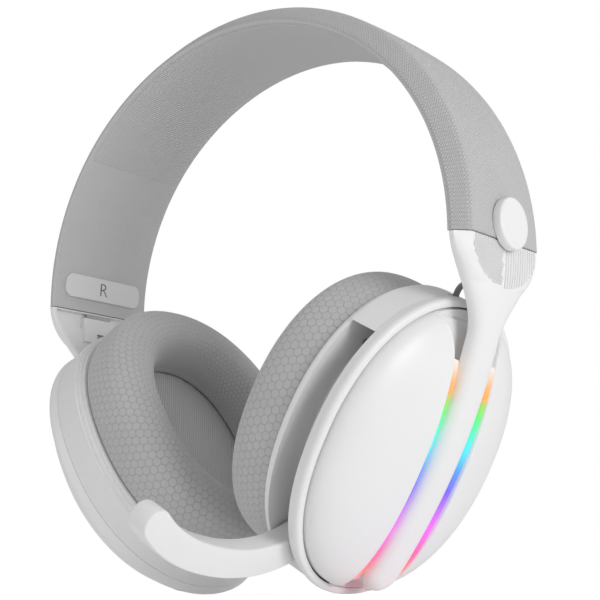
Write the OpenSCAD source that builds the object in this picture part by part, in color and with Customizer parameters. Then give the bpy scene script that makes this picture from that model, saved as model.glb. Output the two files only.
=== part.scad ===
// Over-ear gaming headset: sprung headband, two size-adjusting arms, two ear cups on ball joints
// and a microphone boom that folds into a channel in the left cup.
// Frame: +X to the wearer's left ear, -Y forwards, +Z up; the origin is where the band meets the crown.

/* [Headband] */
// Radius of the band's inner face over the crown
crown_radius = 87.5; // [70:0.5:110]
// Angle from the crown at which the side radius takes over
crown_arc = 41; // [20:1:60]
// Radius of the band's inner face down the sides
side_radius = 79.5; // [60:0.5:100]
// Straight length between the end of the side arc and the fabric hem
hem_drop = 2; // [1:0.5:8]
// Width of the band's inner face
band_width = 46.3; // [36:0.1:60]
// Thickness of the band at the crown
crown_thickness = 7.9; // [7:0.1:12]
// Thickness of the band at the hem
hem_thickness = 6.2; // [6:0.1:9]
// Width of the chamfer beside the outer face at the crown
crown_bevel = 7.6; // [3:0.1:8]
// Width of the chamfer beside the outer face at the hem
hem_bevel = 4.3; // [2:0.1:5]
// Height of the band's upright edge under the chamfer
band_edge = 1.8; // [0.6:0.1:3]
// Wall of the fabric cover around the hollow
cover_wall = 0.8; // [0.5:0.1:1]
// Width of the frame inside the band
frame_width = 29; // [24:0.5:31]
// Angle from the crown at which the inner pad ends
pad_end_angle = 52; // [35:1:56]
// Thickness of the pad under the crown
crown_pad_thickness = 2; // [1:0.1:2.2]
// Thickness of the spring steel strip
spring_thickness = 0.6; // [0.3:0.1:0.8]
// Width of the spring steel strip
spring_width = 14; // [8:0.5:20]
// Radius of the round cap at the hem
disc_radius = 8; // [5:0.1:12]
// Thickness of the round cap
disc_thickness = 3; // [1.5:0.1:4]
// Height of the cap's centre above the hem
disc_rise = 5; // [3:0.5:10]
// Width of the ear label plate
label_width = 37; // [24:0.5:40]
// Height of the ear label plate
label_height = 8.4; // [5:0.1:12]
// Height of the label plate's centre above the hem
label_rise = 8.8; // [6:0.1:14]

/* [Arm] */
// Thickness of the arm
arm_thickness = 5.4; // [4.6:0.1:6]
// Width of the arm over the cup
arm_width = 13.4; // [11:0.1:16]
// Length over which the arm narrows below the hem
funnel_length = 28.5; // [22:0.5:30]
// Radius of the upper bend of the arm
bend_radius = 70.4; // [60:0.1:80]
// Lean of the arm at the end of the upper bend
bend_angle = 16; // [12:0.5:20]
// Radius of the long bow over the cup
bow_radius = 210; // [180:1:260]
// Length of the arm below the ball joint
arm_tail = 46; // [40:0.5:47]
// Travel of the size adjustment
size_travel = 20; // [10:1:20]
// Width of the steel size strip
strip_width = 12; // [8:0.5:14]
// Thickness of the steel size strip
strip_thickness = 0.6; // [0.4:0.05:0.6]

/* [Ear cup] */
// Lean of the cup's face from upright
cup_lean = 29.3; // [20:0.1:35]
// Height of the cup along its long axis
cup_length = 99.4; // [90:0.1:110]
// Width of the cup from front to back
cup_width = 90; // [80:0.1:100]
// Squareness of the cup's outline, where 2 is an ellipse
cup_squareness = 2.17; // [2:0.01:2.6]
// Depth of the arm's middle above the rim's inner edge
arm_height = 17; // [16:0.1:19]
// Height of the ball joint above the cup's centre
ball_rise = 2; // [0:0.5:6]
// Height of the rim ring
rim_height = 4.5; // [3:0.1:5]
// Inset of the outer cover inside the rim ring
cover_inset = 3.1; // [2:0.1:4]
// Height of the outer cover's dome above the rim
dome_height = 14; // [12.5:0.1:16]
// Wall of the cup's shells
shell_wall = 1.8; // [1.4:0.1:2.2]
// Depth of the inner housing behind the rim
housing_depth = 9.5; // [8.5:0.1:11]
// Thickness of the inner housing's floor ring
floor_thickness = 2.8; // [2:0.1:3.5]
// Width of the arm's channel in the cover
channel_width = 23; // [21:0.1:26]
// Thickness of the ear pad
pad_thickness = 20.7; // [16:0.1:21]
// Width of the ear pad's cushion ring
pad_ring = 19.2; // [15:0.1:21]
// Radius of the speaker driver
driver_radius = 20; // [15:0.5:20.5]

/* [Ball joint] */
// Radius of the ball
ball_radius = 4.5; // [4:0.1:5]
// Depth of the ball's centre above the rim's inner edge
ball_depth = 7; // [6.6:0.1:7.4]
// Radius of the neck under the ball stud
neck_radius = 2; // [1.5:0.1:2.2]
// Wall of the liner around the ball
liner_wall = 1.45; // [1:0.05:1.6]
// Running clearance of the ball, the liner, the boom pin and the wheel axle
running_clearance = 0.05; // [0.02:0.01:0.08]

/* [Microphone] */
// Width of the boom
boom_width = 9.2; // [7:0.1:9.6]
// Thickness of the boom
boom_thickness = 7.4; // [5:0.1:7.8]
// Angle from the stowed boom to the boom as drawn
boom_drop = 80.5; // [0:0.5:90]
// Radius of the boom's pivot pin
boom_pin_radius = 2; // [1:0.1:2.6]
// Depth of the boom's channel from the cup's outline
boom_channel = 12.6; // [12.4:0.1:13.6]

/* [Controls] */
// Radius of the volume wheel
wheel_radius = 9; // [7:0.1:10]
// Thickness of the volume wheel
wheel_thickness = 3.2; // [2:0.1:4]
// Travel of the buttons
button_travel = 0.6; // [0.3:0.1:0.8]
// Length of each button along the cup's edge
button_length = 7; // [5:0.1:8]

/* [Hidden] */

seam = 0.15;            // gap at the seams between fixed pieces
far = 200;              // longer than any piece, for cuts
outline_points = 72;    // points round a cup's outline
$fn = 64;

// ---- headband frame of reference ----
side_centre_x = (crown_radius - side_radius) * sin(crown_arc);
side_centre_z = -crown_radius + (crown_radius - side_radius) * cos(crown_arc);
band_half_width = side_centre_x + side_radius;      // from the middle to the inner face at the hem
hem_z = side_centre_z - hem_drop;
bracket_angle = 64.5;                                // where the end brackets take over from the frame
angle_step = 3;

// a point of the band at an angle from the crown, out from the inner face
function band_point(a, out) = let (t = abs(a), s = sign(a))
    t <= crown_arc
        ? [s * (crown_radius + out) * sin(t), -crown_radius + (crown_radius + out) * cos(t)]
        : [s * (side_centre_x + (side_radius + out) * sin(t)), side_centre_z + (side_radius + out) * cos(t)];
function band_thickness(a) = crown_thickness + (hem_thickness - crown_thickness) * abs(a) / 90;
function band_bevel(a) = crown_bevel + (hem_bevel - crown_bevel) * abs(a) / 90;

// ---- arm frame of reference: lean is the angle of the arm from upright ----
arm_gap = 0.3;
arm_top_z = hem_z - arm_gap;
arm_x = band_half_width + hem_thickness / 2;
bow_centre_x = arm_x - bend_radius + (bend_radius - bow_radius) * cos(bend_angle);
bow_centre_z = arm_top_z - (bend_radius - bow_radius) * sin(bend_angle);
function arm_point(lean, out) = lean <= bend_angle
    ? [arm_x - bend_radius + (bend_radius + out) * cos(lean), arm_top_z - (bend_radius + out) * sin(lean)]
    : [bow_centre_x + (bow_radius + out) * cos(lean), bow_centre_z - (bow_radius + out) * sin(lean)];
tail_lean = cup_lean + asin((arm_tail - arm_width / 2) / bow_radius);
function funnel_half(z) = let (t = min(1, max(0, 1 + (z - arm_top_z) / funnel_length)))
    arm_width / 2 + (band_width / 2 - 0.3 - arm_width / 2) * t * t * (3 - 2 * t);

// ---- cup frame of reference: X is out of the ear, Y back, Z up the cup ----
ball_on_arm = arm_point(cup_lean, 0);
cup_x = ball_on_arm[0] - arm_height * cos(cup_lean) - ball_rise * sin(cup_lean);
cup_z = ball_on_arm[1] + arm_height * sin(cup_lean) - ball_rise * cos(cup_lean);
cup_power = 2 / cup_squareness;
function powered(c) = sign(c) * pow(abs(c), cup_power);
function outline_point(t, inset) =
    [(cup_width / 2 - inset) * powered(cos(t)), (cup_length / 2 - inset) * powered(sin(t))];
function outline(inset, n = outline_points) = [for (i = [0:n - 1]) outline_point(360 * i / n, inset)];

floor_depth = -housing_depth - floor_thickness;      // ear side of the housing's floor ring
pad_back = floor_depth - 0.3;
pad_face = pad_back - pad_thickness + 0.3;
arm_underside = arm_height - arm_thickness / 2;
channel_floor = arm_underside - 1.3;                 // depth of the channel's floor at the ball
channel_floor_radius = 120;
baffle_inset = boom_channel + shell_wall + 0.3;
socket_radius = ball_radius + liner_wall + 2 * running_clearance;
socket_outer = socket_radius + 2.5;
cup_screw_angles = [45, 135, 225, 315];
cup_screw_inset = 18.5;

module at_cup() translate([cup_x, 0, cup_z]) rotate([0, cup_lean, 0]) children();
module on_side(side) if (side == "left") children(); else mirror([1, 0, 0]) children();
// for a piece that is the same front and back: the right one is the left one turned
module half_turn(side) rotate([0, 0, side == "left" ? 0 : 180]) children();
module cup_slab(from, to) translate([from, 0, 0]) rotate([90, 0, 90]) linear_extrude(to - from) children();
module outline_slab(from, to, inset) cup_slab(from, to) polygon(outline(inset));
module outline_ring(from, to, outer, inner) cup_slab(from, to) difference() {
    polygon(outline(outer));
    polygon(outline(inner));
}
module cup_rod(from, to, radius, y = 0, z = 0)
    translate([from, y, z]) rotate([0, 90, 0]) cylinder(r = radius, h = to - from);

// a closed solid through rings of points, with flat ends
module loft(rings) {
    n = len(rings[0]);
    last = (len(rings) - 1) * n;
    polyhedron(points = [for (r = rings, p = r) p], faces = concat(
        [[for (i = [0:n - 1]) i], [for (i = [n - 1:-1:0]) last + i]],
        [for (k = [0:len(rings) - 2], i = [0:n - 1]) [k * n + i, (k + 1) * n + i, k * n + (i + 1) % n]],
        [for (k = [0:len(rings) - 2], i = [0:n - 1])
            [k * n + (i + 1) % n, (k + 1) * n + i, (k + 1) * n + (i + 1) % n]]), convexity = 8);
}
// a closed ring-shaped solid: the section's rings join up at both ends
module ring_loft(rings) {
    n = len(rings[0]);
    m = len(rings);
    polyhedron(points = [for (r = rings, p = r) p], faces = concat(
        [for (k = [0:m - 1], i = [0:n - 1]) [k * n + i, (k + 1) % m * n + i, k * n + (i + 1) % n]],
        [for (k = [0:m - 1], i = [0:n - 1])
            [k * n + (i + 1) % n, (k + 1) % m * n + i, (k + 1) % m * n + (i + 1) % n]]), convexity = 8);
}

// ---- headband ----
// a strip that follows the band between two angles, from one height above the inner face to another
module band_strip(from, to, low, high, width) {
    n = ceil((to - from) / angle_step);
    angles = [for (i = [0:n]) from + (to - from) * i / n];
    translate([0, width / 2, 0]) rotate([90, 0, 0]) linear_extrude(width) polygon(concat(
        [for (a = angles) band_point(a, low)],
        [for (i = [n:-1:0]) band_point(angles[i], high)]));
}
function band_section(p, out_dir, t, bevel) = [for (c = [
        [-band_width / 2, 0], [band_width / 2, 0], [band_width / 2, band_edge],
        [band_width / 2 - bevel, t], [bevel - band_width / 2, t], [-band_width / 2, band_edge]])
    [p[0] + c[1] * out_dir[0], c[0], p[1] + c[1] * out_dir[1]]];
module band_body() loft(concat(
    [band_section([-band_half_width, hem_z], [-1, 0], hem_thickness, hem_bevel)],
    [for (a = [-90:angle_step:90])
        band_section(band_point(a, 0), [sin(a), cos(a)], band_thickness(a), band_bevel(a))],
    [band_section([band_half_width, hem_z], [1, 0], hem_thickness, hem_bevel)]));

// the hollow of the cover, deeper towards the head past the bracket angle, and open at both hems
module cover_hollow() {
    low_step = [[bracket_angle, spring_low - 0.1], [bracket_angle, cover_wall]];
    inner = concat([for (a = [0:angle_step:bracket_angle - 1]) [a, spring_low - 0.1]], low_step,
        [for (a = [bracket_angle + 1.5:angle_step:90]) [a, cover_wall]]);
    half_inner = [for (q = inner) band_point(q[0], q[1])];
    half_outer = [for (a = [90:-angle_step:0]) band_point(a, band_thickness(a) - cover_wall)];
    hem_corners = [[band_half_width + cover_wall, hem_z - 1],
        [band_half_width + hem_thickness - cover_wall, hem_z - 1]];
    half = concat(half_inner, hem_corners, half_outer);
    n = len(half) - 1;
    translate([0, frame_width / 2 + 0.2, 0]) rotate([90, 0, 0]) linear_extrude(frame_width + 0.4)
        polygon(concat(half, [for (i = [n - 1:-1:1]) [-half[i][0], half[i][1]]]));
}
module headband_cover() color("#a9a9a9") difference() {
    band_body();
    band_strip(-pad_end_angle, pad_end_angle, -1, crown_pad_thickness + seam, band_width - 6);
    cover_hollow();
    for (side = ["left", "right"]) on_side(side) disc_boss(0.1);
}
module headband_pad() color("#9c9c9c")
    band_strip(-pad_end_angle + 0.2, pad_end_angle - 0.2, 0, crown_pad_thickness, band_width - 6.4);
spring_low = crown_pad_thickness + cover_wall + 0.4;
frame_hole_angles = [20, 45];
spring_end = bracket_angle + 4;
module headband_spring() color("#8a8d92")
    band_strip(-spring_end, spring_end, spring_low, spring_low + spring_thickness, spring_width);
module headband_frame() color("#4a4b4f") difference() {
    band_strip(-bracket_angle + 0.2, bracket_angle - 0.2, spring_low + spring_thickness + 0.1,
        min(crown_thickness, band_thickness(bracket_angle)) - cover_wall - 0.28, frame_width);
    for (s = [-1, 1], y = [-8, 8], a = frame_hole_angles)
        translate([s * crown_radius * sin(a), y, -crown_radius + crown_radius * cos(a)])
            rotate([0, s * a, 0]) cylinder(r = 2.5, h = 2 * crown_thickness);
}
pocket_x = band_half_width + cover_wall + 0.1;       // inner face of the slot for the size strip
strip_x = pocket_x + 0.1;
strip_inside = size_travel + 6;                                   // length of the strip above the hem at rest
module disc_boss(clearance) translate([band_half_width + hem_thickness / 2 + 0.6, 0, hem_z + disc_rise])
    rotate([0, 90, 0]) cylinder(r = 3 + clearance, h = hem_thickness);
module end_bracket() color("#4a4b4f") difference() {
    union() {
        band_strip(bracket_angle, 90, cover_wall + 0.1, hem_thickness - cover_wall - 0.1, frame_width);
        translate([band_half_width + cover_wall + 0.1, -frame_width / 2, hem_z + 0.2])
            cube([hem_thickness - 2 * cover_wall - 0.2, frame_width, hem_drop]);
    }
    translate([pocket_x, -strip_width / 2 - 0.3, hem_z - 1])
        cube([strip_thickness + 0.25, strip_width + 0.6, strip_inside + hem_drop + 1.5]);
    band_strip(bracket_angle - 1, bracket_angle + 4.3, spring_low - 0.1, spring_low + spring_thickness + 0.1,
        spring_width + 0.4);
    disc_peg(0.1);
    for (y = [-1, 1]) bracket_screw_place(y) cylinder(r = 1.1, h = 3);
}
module disc_peg(clearance) translate([pocket_x + strip_thickness + 0.7 - clearance, 0, hem_z + disc_rise])
    rotate([0, 90, 0]) cylinder(r = 2 + clearance, h = hem_thickness);
disc_face = band_half_width + hem_thickness + 0.3;
module disc_cap() color("#f2f2f2") {
    translate([disc_face, 0, hem_z + disc_rise]) rotate([0, 90, 0]) {
        cylinder(r = disc_radius, h = disc_thickness - 0.6);
        translate([0, 0, disc_thickness - 0.6]) cylinder(r1 = disc_radius, r2 = disc_radius - 0.6, h = 0.6);
    }
    translate([pocket_x + strip_thickness + 0.8, 0, hem_z + disc_rise])
        rotate([0, 90, 0]) cylinder(r = 2, h = disc_face + 0.1 - pocket_x - strip_thickness - 0.8);
    translate([band_half_width + hem_thickness - cover_wall + 0.1, 0, hem_z + disc_rise])
        rotate([0, 90, 0]) cylinder(r = 2.9, h = cover_wall + 0.3);
}
module ear_label() color("#d9d9d9") intersection() {
    union() {
        band_strip(70, 90, -1, -0.1, label_width);
        translate([band_half_width - 1, -label_width / 2, hem_z]) cube([0.9, label_width, hem_drop]);
    }
    translate([0, 0, hem_z + label_rise]) rotate([90, 0, 90]) linear_extrude(far)
        rounded_rect(label_width, label_height, 3.2);
}
module rounded_rect(w, h, r) {
    square([w - 2 * r, h], center = true);
    square([w, h - 2 * r], center = true);
    for (x = [-1, 1], y = [-1, 1]) translate([x * (w / 2 - r), y * (h / 2 - r)]) circle(r = r);
}
// screws that clamp the bracket to the frame's end, driven from the head's side
module bracket_screw_place(y) let (a = 74, p = band_point(a, hem_thickness - cover_wall - 0.1))
    translate([p[0], y * 11, p[1]]) rotate([0, a, 0]) translate([0, 0, -2.9]) children();
module bracket_screws() color("#8a8d92") for (side = ["left", "right"], y = [-1, 1]) on_side(side)
    bracket_screw_place(y) { cylinder(r = 1, h = 2.9); }

// ---- arm ----
module arm_strip(from, to, low, high, half) {
    n = ceil((to - from) / 1.5);
    leans = [for (i = [0:n]) from + (to - from) * i / n];
    translate([0, half, 0]) rotate([90, 0, 0]) linear_extrude(2 * half) polygon(concat(
        [for (a = leans) arm_point(a, low)], [for (i = [n:-1:0]) arm_point(leans[i], high)]));
}
// the arm's outline seen from the side, narrowed from its edge by an inset
module arm_outline(inset) {
    n = 14;
    zs = [for (i = [0:n]) arm_top_z - funnel_length * i / n];
    tail_z = arm_point(tail_lean, 0)[1];
    rotate([90, 0, 90]) linear_extrude(far) polygon(concat(
        [for (z = zs) [funnel_half(z) - inset, z]],
        [for (a = [0:-10:-180]) [0, tail_z] + (arm_width / 2 - inset) * [cos(a), sin(a)]],
        [for (i = [n:-1:0]) [inset - funnel_half(zs[i]), zs[i]]]));
}
module arm_solid(low, high, inset) intersection() {
    arm_strip(0, tail_lean + 4, low, high, band_width / 2);
    arm_outline(inset);
}
hood_length = 11;       // boss under the hem that houses the strip's joggle and the cable's exit
hood_width = 16;
arm_skin = 1.7;
lid_thickness = 1.2;
lid_recess = 0.9;       // depth of the arm's lid below the rim of its shell
lid_low = lid_recess - arm_thickness / 2;
joggle_z = arm_top_z - 5;
strip_low = -0.3;       // height of the strip's lower end from the arm's middle
module strip_profile(clearance) polygon([
    [strip_x - clearance, hem_z + strip_inside + clearance],
    [strip_x + strip_thickness + clearance, hem_z + strip_inside + clearance],
    [strip_x + strip_thickness + clearance, arm_top_z - 1],
    [arm_x + strip_low + strip_thickness + clearance, joggle_z],
    [arm_x + strip_low + strip_thickness + clearance, joggle_z - 6 - clearance],
    [arm_x + strip_low - clearance, joggle_z - 6 - clearance],
    [arm_x + strip_low - clearance, joggle_z],
    [strip_x - clearance, arm_top_z - 1]]);
module size_strip() color("#8f9297") difference() {
    translate([0, strip_width / 2, 0]) rotate([90, 0, 0]) linear_extrude(strip_width) strip_profile(0);
    for (i = [0:7], y = [-1, 1]) translate([strip_x - 1, y * strip_width / 2, hem_z + 3 + i * 2.5])
        rotate([0, 90, 0]) cylinder(r = 0.6, h = 3);
    translate([arm_x - 2, 0, joggle_z - 3.5]) rotate([0, 90, 0]) cylinder(r = 1.2, h = 4);
}
module strip_path(clearance) translate([0, strip_width / 2 + clearance, 0]) rotate([90, 0, 0])
    linear_extrude(strip_width + 2 * clearance) strip_profile(clearance);
stud_base_radius = 4.4;
module arm_shell() color("#f1f1f1") difference() {
    arm_solid(-arm_thickness / 2, arm_thickness / 2, 0);
    difference() {
        intersection() {
            arm_strip(4, tail_lean + 4, -arm_thickness, arm_thickness / 2 - arm_skin, band_width / 2);
            arm_outline(1.6);
        }
        for (p = arm_screw_leans)
            arm_screw_place(p) translate([0, 0, lid_thickness + 0.2]) cylinder(r = 2.4, h = 9);
    }
    for (p = arm_screw_leans) arm_screw_place(p) cylinder(r = 1.05, h = 2.8);
    strip_path(0.1);
    hood_space(0.1);
}
// the room that the lid's hood takes under the hem
module hood_space(clearance) intersection() {
    translate([arm_x - arm_thickness, -hood_width / 2 - clearance, arm_top_z - hood_length - clearance])
        cube([arm_thickness + strip_low + strip_thickness, hood_width + 2 * clearance,
            hood_length - 2 + 2 * clearance]);
    arm_strip(0, 20, -arm_thickness, strip_low + strip_thickness + 0.4, band_width / 2);
}
module arm_cover() color("#e6e6e6") difference() {
    union() {
        intersection() {
            arm_strip(5, tail_lean + 4, lid_low, lid_low + lid_thickness, band_width / 2);
            arm_outline(1.7);
        }
        intersection() {
            hood_space(0);
            arm_strip(0, 20, -arm_thickness / 2, strip_low + strip_thickness, band_width / 2);
        }
    }
    strip_path(0.1);
    at_cup() cup_rod(ball_depth, far, stud_base_radius + 0.1, 0, ball_rise);
    for (p = arm_screw_leans) arm_screw_place(p) cylinder(r = 1.1, h = 3);
    translate([arm_x - arm_thickness / 2 - 1, -1.6, arm_top_z - hood_length - 1]) cube([2.2, 3.2, 4.4]);
}
arm_screw_leans = [20, 37];
module arm_screw_place(lean) let (p = arm_point(lean, lid_low - 0.1))
    translate([p[0], 0, p[1]]) rotate([0, 90 + lean, 0]) children();
module arm_screws() color("#8a8d92") for (p = arm_screw_leans) arm_screw_place(p) {
    cylinder(r = 1, h = 2.7);
}
module ball_stud() color("#b9bcc0") at_cup() translate([0, 0, ball_rise]) {
    translate([ball_depth, 0, 0]) sphere(r = ball_radius);
    cup_rod(ball_depth, arm_underside - 0.3, neck_radius);
    cup_rod(arm_underside - 0.4, arm_height + arm_thickness / 2 - arm_skin - 0.1, stud_base_radius);
}

// ---- ball joint in the cup ----
module ball_liner() color("#3c3d40") at_cup() translate([ball_depth, 0, ball_rise]) difference() {
    sphere(r = ball_radius + liner_wall + running_clearance);
    sphere(r = ball_radius + running_clearance);
    translate([ball_radius - 1.3, -far / 2, -far / 2]) cube([far, far, far]);
    translate([-far - ball_radius + 0.9, -far / 2, -far / 2]) cube([far, far, far]);
}
module socket_cut() translate([ball_depth, 0, ball_rise]) {
    sphere(r = socket_radius);
    cup_rod(0, far, neck_radius + 2.4);
}
retainer_bottom = ball_depth - socket_radius + 0.8;
retainer_screws = [90, 210, 330];
module ball_retainer() color("#3c3d40") at_cup() difference() {
    union() {
        cup_rod(retainer_bottom, ball_depth - seam, socket_outer, 0, ball_rise);
        cup_rod(ball_depth - 1.8, ball_depth - seam, socket_outer + 4, 0, ball_rise);
    }
    socket_cut();
    for (a = retainer_screws) translate([0, (socket_outer + 1.8) * cos(a), (socket_outer + 1.8) * sin(a)])
        cup_rod(0, far, 1.05, 0, ball_rise);
}

// ---- cup ----
dome_base = rim_height + 0.3;
flange_thickness = 1.5;   // flange of the rim ring that the cover and the housing clamp
function dome_ring(f, inset, drop) = let (t = 90 * f)
    [for (i = [0:outline_points - 1]) let (p = outline_point(360 * i / outline_points, 0))
        [dome_base + (dome_height - drop) * sin(t),
         p[0] * (1 - 2 * inset / cup_width) * cos(t), p[1] * (1 - 2 * inset / cup_length) * cos(t)]];
// the domed solid of the outer cover, shrunk by a wall
module dome(wall) loft(concat(
    [[for (p = outline(cover_inset + wall)) [flange_thickness + 0.1 - (wall > 0 ? 1 : 0), p[0], p[1]]]],
    [for (f = [0, 0.14, 0.3, 0.46, 0.62, 0.78, 0.93]) dome_ring(f, cover_inset + wall, wall)]));
// the channel that the arm lies in, with a floor that bows like the arm
module channel(wall) difference() {
    translate([channel_floor - 40 - wall, -channel_width / 2 - wall, -far / 2])
        cube([far, channel_width + 2 * wall, far]);
    translate([channel_floor - wall - channel_floor_radius, far / 2, ball_rise]) rotate([90, 0, 0])
        cylinder(r = channel_floor_radius, h = far, $fn = 180);
}
module outer_cover() color("#f4f4f4") at_cup() difference() {
    union() {
        difference() {
            dome(0);
            difference() {
                dome(shell_wall);
                channel(shell_wall);
            }
        }
        cup_rod(ball_depth, channel_floor - 0.5, socket_outer, 0, ball_rise);
        for (a = retainer_screws) cup_rod(ball_depth, channel_floor - 0.5, 2.4,
            (socket_outer + 1.8) * cos(a), ball_rise + (socket_outer + 1.8) * sin(a));
        intersection() {
            dome(0.5);
            for (a = cup_screw_angles) let (p = outline_point(a, cup_screw_inset - 6))
                cup_rod(flange_thickness + 0.1, far, 3.2, p[0], p[1]);
        }
    }
    channel(0);
    socket_cut();
    for (a = cup_screw_angles) let (p = outline_point(a, cup_screw_inset - 6))
        cup_rod(-1, rim_height + 4, 1.05, p[0], p[1]);
    for (a = retainer_screws) cup_rod(ball_depth - 1, ball_depth + 2.5, 1.05,
        (socket_outer + 1.8) * cos(a), ball_rise + (socket_outer + 1.8) * sin(a));
}
light_width = 2.5;
light_middle = (channel_width - light_width) / 2 - 0.3;
light_top = 29;
light_bottom = -37;
module light_bars() color("#cfe8ff") at_cup() intersection() {
    difference() {
        for (middle = [-light_middle, light_middle]) translate([0, middle - light_width / 2, light_bottom])
            cube([far, light_width, light_top - light_bottom]);
        translate([channel_floor + 0.15 - channel_floor_radius, far / 2, ball_rise]) rotate([90, 0, 0])
            cylinder(r = channel_floor_radius, h = far, $fn = 180);
    }
    translate([arm_height - bow_radius, far / 2, ball_rise]) rotate([90, 0, 0])
        cylinder(r = bow_radius, h = far, $fn = 180);
}
module rim_ring() color("#f4f4f4") at_cup() difference() {
    union() {
        outline_ring(0, rim_height - 0.6, 0, cover_inset - 0.15);
        outline_ring(rim_height - 0.7, rim_height, 0.8, cover_inset - 0.15);
        outline_ring(0, flange_thickness, 1, cup_screw_inset - 3);
    }
    for (a = cup_screw_angles) let (p = outline_point(a, cup_screw_inset - 6))
        cup_rod(-1, far, 1.3, p[0], p[1]);
}
// the boom's channel in plan, grown by a wall
channel_top = 33.1;
channel_back = -17;
module boom_channel_plan(grow) intersection() {
    difference() {
        polygon(outline(-3));
        polygon(outline(boom_channel + grow));
    }
    translate([-far + channel_back + grow, -far + channel_top + grow]) square(far);
}
module housing_plan(grow, side) difference() {
    polygon(outline(0.7 + grow));
    if (side == "left") boom_channel_plan(grow);
}
usb_z = -17;
flexure_z = 14;
wheel_z = 14;
wheel_y = cup_width / 2 + 0.6 - wheel_radius;
power_z = -8;
mode_z = -20;
// distance of the cup's side from its long axis at a height, in from the outline by an inset
function edge_y(z, inset = 0.7) = (cup_width / 2 - inset)
    * pow(1 - pow(abs(z) / (cup_length / 2 - inset), cup_squareness), cup_power / 2);
slot_width = 9.6;
module inner_housing(side) color("#efefef") at_cup() difference() {
    union() {
        difference() {
            cup_slab(-housing_depth - 0.1, -seam) housing_plan(0, side);
            cup_slab(-housing_depth - 1, 1) housing_plan(shell_wall, side);
            if (side == "left")
                cup_rod(wheel_mid - wheel_thickness / 2 - 0.3, wheel_mid + wheel_thickness / 2 + 0.3,
                    wheel_radius + 0.4, wheel_y, wheel_z);
        }
        outline_ring(-housing_depth - floor_thickness / 2, -housing_depth, 1.45, cup_screw_inset - 2);
        outline_ring(floor_depth, -housing_depth - floor_thickness / 2, 2.5, cup_screw_inset - 2);
        if (side == "left") cup_rod(-housing_depth - 0.2, wheel_mid + wheel_thickness / 2 + 0.6,
            1.5, wheel_y, wheel_z);
    }
    for (a = cup_screw_angles) let (p = outline_point(a, cup_screw_inset - 6))
        cup_rod(-far, 0, 1.3, p[0], p[1]);
    translate([-2.9, -slot_width / 2, cup_length / 2 - 6]) cube([1.4, slot_width, far]);
    if (side == "left") {
        translate([-housing_depth / 2 - 1.8, -far, usb_z - 4.7]) cube([3.6, far, 9.4]);
        for (dz = [-3.2, 2.6]) translate([-6.5, -far, flexure_z + dz]) cube([4.2, far, 0.6]);
        translate([-2.9, -far, flexure_z - 3.2]) cube([0.6, far, 6.4]);
        for (z = [power_z, mode_z]) translate([-housing_depth / 2 - 1.9, 0, z - button_length / 2 - 0.2])
            cube([3.8, far, button_length + 0.4]);
    }
}
wheel_mid = -housing_depth / 2;
module volume_wheel() color("#dcdcdc") at_cup() difference() {
    cup_rod(wheel_mid - wheel_thickness / 2, wheel_mid + wheel_thickness / 2, wheel_radius, wheel_y, wheel_z);
    cup_rod(-far, far, 1.5 + running_clearance, wheel_y, wheel_z);
    for (i = [0:35]) translate([0, wheel_y, wheel_z]) rotate([10 * i, 0, 0])
        cup_rod(wheel_mid - wheel_thickness, wheel_mid + wheel_thickness, 0.25, wheel_radius + 0.05, 0);
}
// a button whose face stands its travel and a little more above the cup's edge, with a flange inside
module edge_button(z) at_cup() {
    translate([wheel_mid - 1.7, edge_y(z) - 4.8, z - button_length / 2])
        cube([3.4, 5.2 + button_travel, button_length]);
    translate([wheel_mid - 2.6, edge_y(z) - 5.8, z - button_length / 2 - 1])
        cube([5.2, 1.4, button_length + 2]);
}
module power_button() color("#dcdcdc") edge_button(power_z);
module mode_button() color("#dcdcdc") edge_button(mode_z);
module baffle() color("#3c3d40") at_cup() difference() {
    outline_slab(-housing_depth + 0.1, -housing_depth + 1.7, baffle_inset);
    cup_rod(-far, far, driver_radius + 0.2);
    for (a = [30:60:330]) cup_rod(-far, far, 1.6, 25.5 * cos(a), 25.5 * sin(a));
}
module driver_frame() color("#55575b") at_cup() {
    difference() {
        union() {
            cup_rod(-housing_depth - 1.6, -housing_depth + 3.4, driver_radius);
            cup_rod(-housing_depth + 1.8, -housing_depth + 2.8, driver_radius + 2);
        }
        cup_rod(-housing_depth - 2, -housing_depth + 1.9, driver_radius - 1.2);
        cup_rod(-far, far, 6);
    }
}
module driver_magnet() color("#8a8d92") at_cup() {
    cup_rod(-housing_depth + 3.5, -housing_depth + 7, 11);
    cup_rod(-housing_depth - 0.5, -housing_depth + 3.6, 5.8);
}
module speaker_cloth() color("#8d8d8d") at_cup()
    outline_slab(floor_depth - 2.1, floor_depth - 1.8, pad_ring + 1);
module pad_plate() color("#3c3d40") at_cup()
    outline_ring(floor_depth - 1.7, floor_depth - 0.15, 5, pad_ring + 0.3);
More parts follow.
